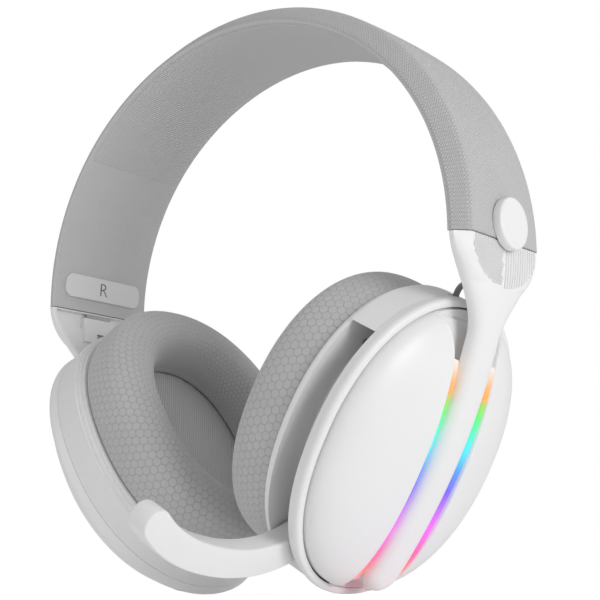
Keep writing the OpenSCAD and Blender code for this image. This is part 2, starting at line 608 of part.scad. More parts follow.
// the pad's section as depth and inset: up the outside, over the crown and down the opening
pad_wall_inset = 1.8;
pad_section = [[pad_back, 3.2], [pad_back - 11, pad_wall_inset], [pad_face + 5.5, pad_wall_inset + 0.4],
    [pad_face + 3.2, 3.6], [pad_face + 1.2, 6], [pad_face - 0.4, 10.5], [pad_face - 0.4, pad_ring - 4.2],
    [pad_face + 1.6, pad_ring - 0.6], [pad_face + 4.5, pad_ring + 1.4], [pad_face + 9, pad_ring + 2.2],
    [pad_back - 2.3, pad_ring + 2.2], [pad_back - 2.3, 4.7], [pad_back, 4.7]];
module ear_pad() color("#9f9f9f") at_cup() difference() {
    ring_loft([for (q = pad_section) [for (p = outline(q[1])) [q[0], p[0], p[1]]]]);
    translate([pad_face - far, -far / 2, -far / 2]) cube(far);
}
module cup_screws() color("#8a8d92") at_cup() {
    for (a = cup_screw_angles) let (p = outline_point(a, cup_screw_inset - 6)) {
        cup_rod(-housing_depth - 1.6, rim_height + 2, 1, p[0], p[1]);
    }
    for (a = retainer_screws) cup_rod(ball_depth - 2.6, ball_depth + 2, 1,
        (socket_outer + 1.8) * cos(a), ball_rise + (socket_outer + 1.8) * sin(a));
}
// the flat cable from the arm's hood into the top of the cup
cable_width = 2.5;
cable_thickness = 1;
cable_route = [[-2.2, -2.3], [-2.2, 1.6], [-0.6, 4.2], [4.6, 7.2], [6.4, 9.6]];
module link_cable() color("#6b6b6b") {
    // the route's points are depth, and height above the top of the cup, from the slot up to the hood
    n = len(cable_route) - 1;
    route = [for (q = cable_route) [q[0], cup_length / 2 + q[1]]];
    along = [for (i = [0:n]) let (d = route[min(n, i + 1)] - route[max(0, i - 1)]) d / norm(d)];
    edge = [for (a = along) [-a[1], a[0]] * cable_thickness / 2];
    at_cup() translate([0, cable_width / 2, 0]) rotate([90, 0, 0]) linear_extrude(cable_width)
        polygon(concat([for (i = [0:n]) route[i] + edge[i]], [for (i = [n:-1:0]) route[i] - edge[i]]));
}

// ---- electronics ----
module main_board() color("#2f6b45") at_cup() difference() {
    outline_slab(0.4, 1.6, cup_screw_inset - 2.7);
    cup_rod(-far, far, socket_outer + 5.2, 0, ball_rise);
    for (a = cup_screw_angles) let (p = outline_point(a, cup_screw_inset - 6))
        cup_rod(-far, far, 3.5, p[0], p[1]);
}
module usb_port() color("#9a9ca0") at_cup()
    translate([-housing_depth / 2 - 1.6, -edge_y(usb_z - 4.5, boom_channel), usb_z - 4.5]) difference() {
        cube([3.2, 7.4, 9]);
        translate([0.3, -0.1, 0.3]) cube([2.6, 6, 8.4]);
    }
module battery() color("#5c6a78") at_cup() translate([-housing_depth + 4.2, 15, -16]) cube([5, 11, 32]);

// ---- microphone ----
boom_low = -housing_depth + (housing_depth - boom_thickness) / 2;
function boom_inset(t) = 5.8 + 2 * cos((t - (boom_root + boom_tip) / 2) * 180 / (boom_tip - boom_root));
boom_root = -52;
boom_tip = 37.5;
boom_steps = 16;
boom_angles = [for (i = [0:boom_steps]) boom_root + (boom_tip - boom_root) * i / boom_steps];
function boom_side(t, out) = let (p = outline_point(t, boom_inset(t) - out)) [-p[0], p[1]];
pivot = boom_side(boom_root, 0);
// points of a half circle about one end of the boom, starting from the outer side
function boom_end(t, half, turn) = let (c = boom_side(t, 0), d = boom_side(t, 1) - c, a = atan2(d[1], d[0]))
    [for (k = [15:15:165]) c + half * [cos(a + turn * k), sin(a + turn * k)]];
module boom_plan(half) polygon(concat(
    [for (t = boom_angles) boom_side(t, half)], boom_end(boom_tip, half, -1),
    [for (i = [boom_steps:-1:0]) boom_side(boom_angles[i], -half)],
    boom_end(boom_root, -half, -1)));
module lowered() translate([0, pivot[0], pivot[1]]) rotate([boom_drop, 0, 0])
    translate([0, -pivot[0], -pivot[1]]) children();
lid_depth = 1.4;
lid_half = boom_width / 2 - 1.5;
module mic_boom() color("#f0f0f0") at_cup() lowered() difference() {
    cup_slab(boom_low, boom_low + boom_thickness) boom_plan(boom_width / 2);
    difference() {
        cup_slab(boom_low - 1, boom_low + boom_thickness - 1.5) boom_plan(boom_width / 2 - 1.4);
        cup_rod(-far, far, boom_pin_radius + 2, pivot[0], pivot[1]);
    }
    cup_rod(-far, far, boom_pin_radius + running_clearance, pivot[0], pivot[1]);
}
module mic_boom_cover() color("#d8d8d8") at_cup() lowered() difference() {
    cup_slab(boom_low, boom_low + lid_depth) boom_plan(lid_half);
    cup_rod(-far, far, boom_pin_radius + 2.1, pivot[0], pivot[1]);
    let (tip = boom_side(boom_tip, 0)) for (k = [-1, 0, 1])
        translate([-far / 2, tip[0] + 0.45 * k * lid_half - 0.3, tip[1] - lid_half])
            cube([far, 0.6, 2 * lid_half - 1.1]);
}
module mic_capsule() color("#55575b") at_cup() lowered() let (tip = boom_side(boom_tip, 0))
    cup_rod(boom_low + lid_depth + 0.1, boom_low + boom_thickness - 1.6, lid_half - 0.2, tip[0], tip[1]);
module boom_pin() color("#8a8d92") at_cup()
    cup_rod(-housing_depth + 0.05, -0.05, boom_pin_radius, pivot[0], pivot[1]);

headband_spring();
headband_frame();
headband_cover();
headband_pad();
bracket_screws();
for (side = ["left", "right"]) {
    on_side(side) end_bracket();
    on_side(side) disc_cap();
    on_side(side) ear_label();
    on_side(side) arm_shell();
    on_side(side) arm_cover();
    on_side(side) size_strip();
    on_side(side) ball_stud();
    on_side(side) arm_screws();
    on_side(side) ball_liner();
    on_side(side) ball_retainer();
    half_turn(side) outer_cover();
    on_side(side) light_bars();
    on_side(side) rim_ring();
    on_side(side) inner_housing(side);
    on_side(side) baffle();
    on_side(side) driver_frame();
    on_side(side) driver_magnet();
    on_side(side) speaker_cloth();
    on_side(side) pad_plate();
    on_side(side) ear_pad();
    on_side(side) cup_screws();
    on_side(side) link_cable();
}
main_board();
usb_port();
power_button();
mode_button();
volume_wheel();
mic_boom();
mic_boom_cover();
mic_capsule();
boom_pin();
mirror([1, 0, 0]) battery();
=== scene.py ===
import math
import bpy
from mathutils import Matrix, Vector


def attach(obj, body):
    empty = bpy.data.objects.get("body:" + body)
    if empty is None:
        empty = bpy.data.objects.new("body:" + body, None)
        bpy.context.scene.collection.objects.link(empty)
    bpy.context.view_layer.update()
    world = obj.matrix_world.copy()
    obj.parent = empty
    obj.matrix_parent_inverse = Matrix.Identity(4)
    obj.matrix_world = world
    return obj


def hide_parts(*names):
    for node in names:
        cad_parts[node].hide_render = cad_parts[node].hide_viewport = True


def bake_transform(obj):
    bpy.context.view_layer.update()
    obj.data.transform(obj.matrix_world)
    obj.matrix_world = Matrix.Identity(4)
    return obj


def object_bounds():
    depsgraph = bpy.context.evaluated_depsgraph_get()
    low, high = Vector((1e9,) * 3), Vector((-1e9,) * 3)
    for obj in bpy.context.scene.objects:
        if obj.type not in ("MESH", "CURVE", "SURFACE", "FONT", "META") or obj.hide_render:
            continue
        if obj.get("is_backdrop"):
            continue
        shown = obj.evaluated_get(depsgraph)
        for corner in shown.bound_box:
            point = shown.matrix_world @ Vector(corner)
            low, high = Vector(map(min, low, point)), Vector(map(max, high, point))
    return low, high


bl_info = {
    "name": "Gaming headset",
    "version": (1, 0, 0),
    "blender": (4, 5, 0),
    "location": "View3D > Sidebar > Headset",
    "description": "Covers, pads, shells, lights and finishes of an over-ear gaming headset on its packed frame",
    "category": "Object",
}

import bmesh
import bpy
from bpy.props import FloatProperty, FloatVectorProperty, IntProperty, PointerProperty
from mathutils import Matrix, Vector

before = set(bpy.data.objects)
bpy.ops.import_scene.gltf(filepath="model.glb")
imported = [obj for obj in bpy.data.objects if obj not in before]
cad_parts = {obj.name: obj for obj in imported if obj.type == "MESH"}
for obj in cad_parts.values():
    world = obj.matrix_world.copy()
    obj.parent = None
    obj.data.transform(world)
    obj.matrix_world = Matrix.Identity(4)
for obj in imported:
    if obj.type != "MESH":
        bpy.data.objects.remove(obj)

SIDES = (("left", 1), ("right", -1))
ROOT_3 = math.sqrt(3)

# ---- the headset's sizes in millimetres, as in its mechanical source ----
CROWN_RADIUS, CROWN_ARC, SIDE_RADIUS = 87.5, 41.0, 79.5
SIDE_X, SIDE_Z = 5.2485, -81.4623
BAND_HALF, HEM_Z = 84.7485, -83.4623
BAND_Y, BAND_EDGE = 23.15, 1.8
CROWN_THICK, HEM_THICK, CROWN_BEVEL, HEM_BEVEL = 7.9, 6.2, 7.6, 4.3
ARM_X, ARM_TOP = 87.8485, -83.7623
DISC_X, DISC_RISE, LABEL_RISE = 91.2485, 5.0, 8.8
BEND_RADIUS, BEND_LEAN, BOW_RADIUS = 70.4, 16.0, 210.0
ARM_HALF_THICK, ARM_HALF, FUNNEL, HEM_HALF = 2.7, 6.7, 28.5, 22.85
TAIL_LEAN, ARM_LONG = 40.09, 99
ARCH_HALF, ARCH_DROP, RIB_PITCH = 18.5, 13.6, 1.36
CUP_X, CUP_Z, CUP_LEAN = 50.5869, -141.478, 29.3
CUP_Y, CUP_S, POWER = 45.0, 49.7, 2.17
DOME_Y, DOME_S, DOME_BASE, DOME_RISE = 41.9, 46.6, 4.8, 14.0
CHANNEL_DEPTH, CHANNEL_RADIUS, CHANNEL_HALF, CHANNEL_TOP = 13.0, 120.0, 11.3, 16.3
BALL_S, LIGHT_Y, LIGHT_HALF, LIGHT_TOP = 2.0, 9.95, 1.25, 17.0
PAD_BACK, PAD_FACE = -12.6, -33.0
RIM_INNER, SPEAKER_DEPTH, SPEAKER_SAG = 3.1, -14.3, 0.9
BOOM_LOW, BOOM_HIGH, BOOM_HALF, BOOM_DROP = -8.45, -1.05, 4.6, 80.5
BOOM_INSET, BOOM_BOW = 5.8, 2.0


def sin_d(a):
    return math.sin(math.radians(a))


def cos_d(a):
    return math.cos(math.radians(a))


def smooth_step(t):
    t = min(1.0, max(0.0, t))
    return t * t * (3 - 2 * t)


def mix(a, b, t):
    return a + (b - a) * t


# ---------------------------------------------------------------- places on the headset
def band_place(angle, out):
    """Point of the headband's arch, at an angle from the crown and a distance out of its inner face"""
    s, a = (-1 if angle < 0 else 1), abs(angle)
    if a <= CROWN_ARC:
        return s * (CROWN_RADIUS + out) * sin_d(a), -CROWN_RADIUS + (CROWN_RADIUS + out) * cos_d(a)
    return s * (SIDE_X + (SIDE_RADIUS + out) * sin_d(a)), SIDE_Z + (SIDE_RADIUS + out) * cos_d(a)


def band_run(angle):
    """Length along the arch from the crown"""
    s, a = (-1 if angle < 0 else 1), abs(angle)
    return s * math.radians(min(a, CROWN_ARC) * CROWN_RADIUS + max(0.0, a - CROWN_ARC) * SIDE_RADIUS)


def arm_place(lean, out):
    """Point of an arm, at a lean from its top and a distance out of its middle surface"""
    if lean <= BEND_LEAN:
        r = BEND_RADIUS + out
        return ARM_X - BEND_RADIUS + r * cos_d(lean), ARM_TOP - r * sin_d(lean)
    r = BOW_RADIUS + out
    rest = BEND_RADIUS - BOW_RADIUS
    return (ARM_X - BEND_RADIUS + rest * cos_d(BEND_LEAN) + r * cos_d(lean),
            ARM_TOP - rest * sin_d(BEND_LEAN) - r * sin_d(lean))


def arm_half_width(z):
    """Half of the arm's width, which runs out in a funnel towards the hem"""
    return ARM_HALF + (HEM_HALF - ARM_HALF) * smooth_step(1 + (z - ARM_TOP) / FUNNEL)


def arm_crease(half, below_hem):
    """Distance of the crease of the arm's outer face from its middle line"""
    drop = max(0.0, below_hem) / ARCH_DROP
    arch = ARCH_HALF * math.sqrt(1 - drop ** 2) if drop < 1 else 0.0
    return max(0.25 * half, min(arch, half - 4.3))


def arm_face(y, half, below_hem):
    """Height of the arm's outer face over its middle: flat under the disc, then a crease and a fall to its edge"""
    crease = arm_crease(half, below_hem)
    if abs(y) <= crease:
        return ARM_HALF_THICK
    q = min(1.0, (abs(y) - crease) / (half - crease))
    k = smooth_step(below_hem / 12)
    g = mix(q, 1 - math.sqrt(max(0.0, 1 - q * q)), k)
    return ARM_HALF_THICK - mix(3.6, 3.9, k) * g


def cup_place(side, depth, y, s):
    """Point of a cup: depth away from the ear, y to the rear, s up the cup from its middle"""
    return (side * (CUP_X + cos_d(CUP_LEAN) * depth + sin_d(CUP_LEAN) * s), y,
            CUP_Z - sin_d(CUP_LEAN) * depth + cos_d(CUP_LEAN) * s)


def cup_outline(inset, t):
    """Point (y, s) of a cup's outline, moved in by an inset, at the angle t"""
    c, s = math.cos(t), math.sin(t)
    return ((CUP_Y - inset) * math.copysign(abs(c) ** (2 / POWER), c),
            (CUP_S - inset) * math.copysign(abs(s) ** (2 / POWER), s))


def dome_depth(y, s):
    """Depth of the cover's dome over a point of the cup"""
    q = (abs(y) / DOME_Y) ** POWER + (abs(s) / DOME_S) ** POWER
    return DOME_BASE + DOME_RISE * math.sqrt(max(0.0, 1 - q ** (2 / POWER)))


def bowed(top, radius, s):
    """Depth of a line that is bowed to a radius and highest over the ball"""
    return top - (radius - math.sqrt(radius ** 2 - (s - BALL_S) ** 2))


def channel_depth(s):
    """Depth of the light channel's floor"""
    return bowed(CHANNEL_DEPTH, CHANNEL_RADIUS, s)


def outline_height(y):
    """Height of the cover's outline at y"""
    return DOME_S * (1 - (min(abs(y), DOME_Y) / DOME_Y) ** POWER) ** (1 / POWER)


def turns(count):
    """Equal angles once round"""
    return [2 * math.pi * j / count for j in range(count)]


def run_along(points, closed=False):
    """Length from the first point to each point of a line"""
    runs = [0.0]
    for p, q in zip(points, points[1:] + points[:1] if closed else points[1:]):
        runs.append(runs[-1] + math.dist(p, q))
    return runs


# ---------------------------------------------------------------- mesh work
class Skin:
    """Points, faces, pattern coordinates and finish numbers of a piece while it is made"""

    def __init__(self):
        self.points, self.faces, self.coords, self.finishes = [], [], [], []

    def loft(self, rings, ring_closed=True, path_closed=False, coord=None, finish=None):
        base, m, n = len(self.points), len(rings), len(rings[0])
        for ring in rings:
            self.points.extend(ring)
        for i in range(m if path_closed else m - 1):
            for j in range(n if ring_closed else n - 1):
                a, b = base + i * n, base + (i + 1) % m * n
                self.faces.append((a + j, a + (j + 1) % n, b + (j + 1) % n, b + j))
                self.coords.append([coord(i + p, j + q) for p, q in ((0, 0), (0, 1), (1, 1), (1, 0))]
                                   if coord else [(0, 0)] * 4)
                self.finishes.append(finish(i, j) if finish else 0)

    def cap(self, ring, finish=0, centre=None, coord=None):
        base, n = len(self.points), len(ring)
        self.points.extend(ring)
        if centre is None:
            self.faces.append(tuple(range(base, base + n)))
            self.coords.append([coord(p) if coord else (0, 0) for p in ring])
            self.finishes.append(finish)
            return
        self.points.append(centre)
        for j in range(n):
            tri = (j, (j + 1) % n, n)
            self.faces.append(tuple(base + k for k in tri))
            self.coords.append([coord(self.points[base + k]) if coord else (0, 0) for k in tri])
            self.finishes.append(finish)

    def tube(self, rings):
        """Rings joined up, with a flat cap at both ends"""
        self.loft(rings)
        self.cap(rings[0])
        self.cap(rings[-1])

    def make(self, name, materials, outward=None, sharp=38):
        """A piece at the origin with its place in its mesh, closed at its seams and facing outwards"""
        mesh = bpy.data.meshes.new(name)
        mesh.from_pydata([tuple(0.001 * c for c in p) for p in self.points], [], self.faces)
        pattern = mesh.uv_layers.new(name="Pattern").data
        pattern.foreach_set("uv", [c for face in self.coords for uv in face for c in uv])
        mesh.polygons.foreach_set("material_index", self.finishes)
        for material in materials:
            mesh.materials.append(material)
        bm = bmesh.new()
        bm.from_mesh(mesh)
        bmesh.ops.remove_doubles(bm, verts=bm.verts, dist=2e-6)
        bmesh.ops.dissolve_degenerate(bm, edges=bm.edges, dist=1e-6)
        bmesh.ops.recalc_face_normals(bm, faces=bm.faces)
        if outward is not None:
            lean = sum((f.normal * f.calc_area() for f in bm.faces), Vector()).dot(Vector(outward))
            if lean < 0:
                bmesh.ops.reverse_faces(bm, faces=bm.faces)
        bm.to_mesh(mesh)
        bm.free()
        mesh.polygons.foreach_set("use_smooth", [True] * len(mesh.polygons))
        mesh.set_sharp_from_angle(angle=math.radians(sharp))
        return linked(name, mesh)


def linked(name, data):
    """An object of the data, in the scene"""
    piece = bpy.data.objects.new(name, data)
    bpy.context.scene.collection.objects.link(piece)
    return piece


def rounded(corners, steps=5):
    """A closed outline with each corner (a, b, radius) turned into an arc"""
    n, line = len(corners), []
    for i in range(n):
        p = Vector(corners[i][:2])
        before, after = Vector(corners[i - 1][:2]) - p, Vector(corners[(i + 1) % n][:2]) - p
        r = min(corners[i][2], 0.45 * before.length, 0.45 * after.length)
        a, b = p + before.normalized() * r, p + after.normalized() * r
        for k in range(steps + 1):
            t = k / steps
            q = a * (1 - t) ** 2 + p * 2 * t * (1 - t) + b * t * t
            line.append((q.x, q.y))
    return line


def curve_through(points, count, closed=False):
    """Smooth line through points, with count equal steps"""
    n = len(points)
    dense = []
    for i in range(n if closed else n - 1):
        ids = [(i + k) % n if closed else min(n - 1, max(0, i + k)) for k in (-1, 0, 1, 2)]
        p = [Vector(points[j]) for j in ids]
        for k in range(24):
            t = k / 24
            dense.append(0.5 * (2 * p[1] + (p[2] - p[0]) * t + (2 * p[0] - 5 * p[1] + 4 * p[2] - p[3]) * t * t
                                + (3 * p[1] - p[0] - 3 * p[2] + p[3]) * t ** 3))
    dense.append(Vector(points[0] if closed else points[-1]))
    runs = run_along(dense)
    line, k = [], 0
    for i in range(count if closed else count + 1):
        want = runs[-1] * i / count
        while k < len(runs) - 2 and runs[k + 1] < want:
            k += 1
        span = max(1e-9, runs[k + 1] - runs[k])
        line.append(dense[k].lerp(dense[k + 1], min(1, (want - runs[k]) / span)))
    return line


def cup_ring_piece(name, side, section, finish, sharp=38):
    """Ring round a cup whose section is a closed list of (depth, inset)"""
    skin = Skin()
    rings = [[cup_place(side, d, *cup_outline(inset, t)) for t in turns(160)] for d, inset in section]
    skin.loft(rings, path_closed=True)
    return skin.make(name, [finish_of(finish)], sharp=sharp)


def finish_node(name, material):
    """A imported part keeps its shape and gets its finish"""
    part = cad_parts[name]
    if not part.material_slots:
        part.data.materials.append(material)
    for s in part.material_slots:
        s.material = material


# ---------------------------------------------------------------- node trees
def add(tree, kind, values=None, **settings):
    """A node with its settings, and its inputs set to values or joined to sockets"""
    node = tree.nodes.new(kind)
    for key, value in settings.items():
        setattr(node, key, value)
    for key, value in (values or {}).items():
        socket = node.inputs[key]
        if isinstance(value, bpy.types.NodeSocket):
            tree.links.new(value, socket)
        else:
            socket.default_value = value
    return node


def math_node(tree, operation, a, b=0.0, c=0.0):
    return add(tree, "ShaderNodeMath", {0: a, 1: b, 2: c}, operation=operation).outputs[0]


def vector_node(tree, operation, output, values):
    return add(tree, "ShaderNodeVectorMath", values, operation=operation).outputs[output]


def noise(tree, scale, detail, output="Fac"):
    """Noise that lies still in the piece"""
    place = add(tree, "ShaderNodeTexCoord").outputs["Object"]
    return add(tree, "ShaderNodeTexNoise", {"Vector": place, "Scale": scale, "Detail": detail}).outputs[output]


def pattern(tree):
    """The pattern coordinates of a piece"""
    return add(tree, "ShaderNodeUVMap", uv_map="Pattern").outputs[0]


def pattern_steps(tree, inp):
    """Pattern coordinates, turned and counted in pitches"""
    turned = add(tree, "ShaderNodeVectorRotate", {"Vector": pattern(tree), "Angle": inp["Turn"]},
                 rotation_type="Z_AXIS")
    xyz = add(tree, "ShaderNodeSeparateXYZ", {0: turned.outputs[0]}).outputs
    return [math_node(tree, "DIVIDE", xyz[k], inp["Pitch"]) for k in (0, 1)]


def arches(tree, value, rate=math.pi):
    """A row of round arches"""
    return math_node(tree, "ABSOLUTE", math_node(tree, "SINE", math_node(tree, "MULTIPLY", value, rate)))


def group(name, inputs, outputs):
    tree = bpy.data.node_groups.new(name, "ShaderNodeTree")
    for label, value in inputs.items():
        tree.interface.new_socket(label, in_out="INPUT", socket_type="NodeSocketFloat").default_value = value
    for label in outputs:
        tree.interface.new_socket(label, in_out="OUTPUT", socket_type="NodeSocketFloat")
    return tree, add(tree, "NodeGroupInput").outputs, add(tree, "NodeGroupOutput").inputs


def grain_group():
    """Fine moulded texture of plastic, and a slow change of tone over a piece"""
    tree, inp, out = group("Moulded grain", {"Grain scale": 2600.0, "Tone spread": 0.03}, ("Height", "Tone"))
    tree.links.new(noise(tree, inp["Grain scale"], 2.0), out["Height"])
    shift = math_node(tree, "SUBTRACT", noise(tree, 45.0, 2.0), 0.5)
    tree.links.new(math_node(tree, "MULTIPLY_ADD", shift, inp["Tone spread"], 1.0), out["Tone"])


def weave_group():
    """Over-and-under cloth on the piece's own pattern coordinates, in millimetres; its Thread output is lighter on
    raised threads and on one set of crossings, painted light and shade of the weave
    """
    tree, inp, out = group("Woven cloth", {"Pitch": 1.0, "Turn": 0.0, "Slant": 0.0, "Fuzz": 0.12},
                           ("Height", "Thread", "Fibre"))
    x, y = pattern_steps(tree, inp)
    x = math_node(tree, "MULTIPLY_ADD", y, inp["Slant"], x)
    cell = math_node(tree, "ADD", math_node(tree, "FLOOR", x), math_node(tree, "FLOOR", y))
    over = math_node(tree, "FLOORED_MODULO", cell, 2.0)
    warp, weft = arches(tree, x), arches(tree, y)
    both = math_node(tree, "POWER", math_node(tree, "MULTIPLY", warp, weft), 0.5)
    one = add(tree, "ShaderNodeMix", {"Factor": over, "A": warp, "B": weft}).outputs[0]
    height = math_node(tree, "MULTIPLY", math_node(tree, "ADD", one, both), 0.5)
    fuzz = math_node(tree, "SUBTRACT", noise(tree, 1900.0, 3.0), 0.5)
    tree.links.new(math_node(tree, "MULTIPLY_ADD", fuzz, inp["Fuzz"], height), out["Height"])
    # Thread: painted light and shade, lighter where the threads rise and where the weft lies over, darker where they
    # sink
    tree.links.new(math_node(tree, "MULTIPLY_ADD", over, 0.25, math_node(tree, "MULTIPLY", height, 0.75)),
                   out["Thread"])
    tree.links.new(noise(tree, 60.0, 2.0), out["Fibre"])


def knit_group():
    """Six-sided raised cells of the ear pads' knit, one cell for each unit of the pattern coordinates; the Groove
    output darkens the colour in the grooves between cells as painted shade
    """
    tree, inp, out = group("Six-sided knit", {"Groove width": 0.09, "Waver": 0.06}, ("Height", "Groove", "Fibre"))
    sway = noise(tree, 260.0, 1.0, "Color")
    shift = vector_node(tree, "SUBTRACT", 0, {0: sway, 1: (0.5, 0.5, 0.5)})
    shift = vector_node(tree, "SCALE", 0, {0: shift, "Scale": inp["Waver"]})
    p = vector_node(tree, "ADD", 0, {0: pattern(tree), 1: shift})
    low, high = (-0.5, -ROOT_3 / 2, -1.0), (0.5, ROOT_3 / 2, 1.0)
    flat = vector_node(tree, "MULTIPLY", 0, {0: p, 1: (1.0, 1.0, 0.0)})
    moved = vector_node(tree, "ADD", 0, {0: flat, 1: (0.5, ROOT_3 / 2, 0.0)})
    near = [vector_node(tree, "WRAP", 0, {0: v, 1: high, 2: low}) for v in (flat, moved)]
    first, second = (vector_node(tree, "LENGTH", "Value", {0: v}) for v in near)
    cell = add(tree, "ShaderNodeMix", {"Factor": math_node(tree, "LESS_THAN", second, first)}, data_type="VECTOR")
    for socket, value in zip([s for s in cell.inputs if s.name in "AB" and s.type == "VECTOR"], near):
        tree.links.new(value, socket)
    xyz = add(tree, "ShaderNodeSeparateXYZ", {0: cell.outputs[1]}).outputs
    x, y = (math_node(tree, "ABSOLUTE", xyz[k]) for k in (0, 1))
    slant = math_node(tree, "ADD", math_node(tree, "MULTIPLY", x, 0.5), math_node(tree, "MULTIPLY", y, ROOT_3 / 2))
    edge = math_node(tree, "SUBTRACT", 0.5, math_node(tree, "MAXIMUM", x, slant))
    rise = add(tree, "ShaderNodeMapRange", {"Value": edge, "From Min": 0.0, "From Max": inp["Groove width"]},
               interpolation_type="SMOOTHSTEP").outputs[0]
    crowned = math_node(tree, "ADD", rise, math_node(tree, "MULTIPLY", edge, 0.3))
    stitch = math_node(tree, "MULTIPLY", noise(tree, 2400.0, 2.0), 0.22)
    tree.links.new(math_node(tree, "ADD", crowned, stitch), out["Height"])
    # Groove: painted shade in the sunk lines between the cells
    tree.links.new(math_node(tree, "SUBTRACT", 1.0, rise), out["Groove"])
    tree.links.new(noise(tree, 55.0, 2.0), out["Fibre"])


def rib_group():
    """Fine parallel ribs across the pattern coordinates; the Groove output darkens the colour between the ribs as
    painted shade
    """
    tree, inp, out = group("Fine ribs", {"Pitch": 1.0, "Turn": 0.0, "Break": 0.0}, ("Height", "Groove"))
    x, y = pattern_steps(tree, inp)
    wave = arches(tree, x)
    cross = arches(tree, y, math.pi * 0.8)
    tree.links.new(math_node(tree, "MULTIPLY_ADD", cross, inp["Break"], wave), out["Height"])
    # Groove: painted shade, darkest in the hollows between ribs
    tree.links.new(math_node(tree, "SUBTRACT", 1.0, math_node(tree, "POWER", wave, 0.6)), out["Groove"])


def new_finish(name):
    material = bpy.data.materials.new("headset_" + name)
    material.use_nodes = True
    tree = material.node_tree
    return material, tree, tree.nodes["Principled BSDF"]


def set_shader(shader, **values):
    names = {"base": "Base Color", "rough": "Roughness", "metal": "Metallic", "sheen": "Sheen Weight",
             "sheen_rough": "Sheen Roughness", "level": "Specular IOR Level", "glow": "Emission Strength"}
    for key, value in values.items():
        shader.inputs[names[key]].default_value = value


def place_group(tree, name, **values):
    node = add(tree, "ShaderNodeGroup", node_tree=bpy.data.node_groups[name])
    for key, value in values.items():
        node.inputs[key.replace("_", " ")].default_value = value
    return node.outputs


def surface(tree, shader, colour, rough, height, bump):
    """Joins a colour, a roughness and a relief to a shader"""
    relief = add(tree, "ShaderNodeBump", {"Height": height, "Distance": bump, "Strength": 1.0}).outputs[0]
    for socket, value in (("Base Color", colour), ("Roughness", rough), ("Normal", relief)):
        tree.links.new(value, shader.inputs[socket])


def plastic(name, colour, rough, grain=2600.0, bump=0.00001, metal=0.0):
    """Moulded or painted finish with fine grain"""
    tree, shader = new_finish(name)[1:]
    set_shader(shader, metal=metal)
    out = place_group(tree, "Moulded grain", Grain_scale=grain)
    base = vector_node(tree, "SCALE", 0, {0: tuple(colour), "Scale": out["Tone"]})
    spread = math_node(tree, "MULTIPLY_ADD", out["Height"], 0.12, rough - 0.06)
    surface(tree, shader, base, spread, out["Height"], bump)


def cloth(name, light, dark, group_name, bump, sheen=0.25, mask="Thread", **values):
    """Fabric: a woven, ribbed or knitted group drives its relief, its colour and its roughness; the colour is darker
    where the relief sinks, which is painted shade between threads and in grooves
    """
    tree, shader = new_finish(name)[1:]
    set_shader(shader, sheen=sheen, sheen_rough=0.5, level=0.25)
    out = place_group(tree, group_name, **values)
    # Painted shade: the mask blends to the darker colour where the cloth's relief is sunk
    blend = add(tree, "ShaderNodeMix", {"Factor": out[mask]}, data_type="RGBA")
    first, second = (light, dark) if mask == "Groove" else (dark, light)
    blend.inputs[6].default_value, blend.inputs[7].default_value = (*first, 1), (*second, 1)
    colour = blend.outputs[2]
    if "Fibre" in out:
        shade = math_node(tree, "MULTIPLY_ADD", out["Fibre"], 0.10, 0.95)
        colour = vector_node(tree, "SCALE", 0, {0: colour, "Scale": shade})
    surface(tree, shader, colour, math_node(tree, "MULTIPLY_ADD", out[mask], 0.1, 0.8), out["Height"], bump)


def light_finish(name):
    """Diffuser lit from behind, orange at its top through green and blue to pink at its foot"""
    tree, shader = new_finish(name)[1:]
    set_shader(shader, rough=0.35, glow=1.0, base=(0.10, 0.10, 0.10, 1))
    run = add(tree, "ShaderNodeSeparateXYZ", {0: pattern(tree)}).outputs[0]
    ramp = add(tree, "ShaderNodeValToRGB", {"Fac": run})
    stops = ((0.0, (1.0, 0.30, 0.25)), (0.06, (1.0, 0.12, 0.14)), (0.15, (1.0, 0.06, 0.36)),
             (0.27, (0.95, 0.06, 0.90)), (0.37, (0.45, 0.08, 1.0)), (0.45, (0.12, 0.06, 1.0)),
             (0.54, (0.02, 0.25, 1.0)), (0.63, (0.0, 0.75, 1.0)), (0.71, (0.0, 0.95, 0.55)),
             (0.79, (0.05, 0.88, 0.10)), (0.845, (0.35, 0.62, 0.05)), (0.87, (1.0, 0.36, 0.02)),
             (0.92, (1.0, 0.42, 0.10)), (1.0, (0.84, 0.78, 0.72)))
    elements = ramp.color_ramp.elements
    elements[0].color, elements[1].color = (*stops[0][1], 1), (*stops[-1][1], 1)
    for at, colour in stops[1:-1]:
        elements.new(at).color = (*colour, 1)
    tree.links.new(ramp.outputs[0], shader.inputs["Emission Color"])


def finish_of(name):
    return bpy.data.materials["headset_" + name]


# ---------------------------------------------------------------- settings
class HeadsetSizes(bpy.types.PropertyGroup):
    """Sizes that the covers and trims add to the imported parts"""
    cover_crown: FloatProperty(name="Cover crown", description="How far the headband's cloth swells over its foam",
                               default=0.00035, min=0, max=0.001, unit="LENGTH")
    cushion_rise: FloatProperty(name="Cushion rise", description="How far the crown cushion stands off the headband",
                                default=0.0011, min=0, max=0.002, unit="LENGTH")
    pad_swell: FloatProperty(name="Pad swell", description="Most that an ear pad's cloth moves as it fills",
                             default=0.0014, min=0, max=0.003, unit="LENGTH")
    pad_cells: IntProperty(name="Pad cells", description="Cells of the knit round an ear pad",
                           default=102, min=60, max=180)
    rib_radius: FloatProperty(name="Rib radius", description="Radius of the ribs under the discs",
                              default=0.00034, min=0.0001, max=0.0006, unit="LENGTH")
    seam_gap: FloatProperty(name="Seam gap", description="Gap between a cup's cover and its rim",
                            default=0.00055, min=0.0001, max=0.0008, unit="LENGTH")
    lip: FloatProperty(name="Lip", description="Rounding of the cover's lips along the light channel",
                       default=0.0008, min=0.0002, max=0.002, unit="LENGTH")


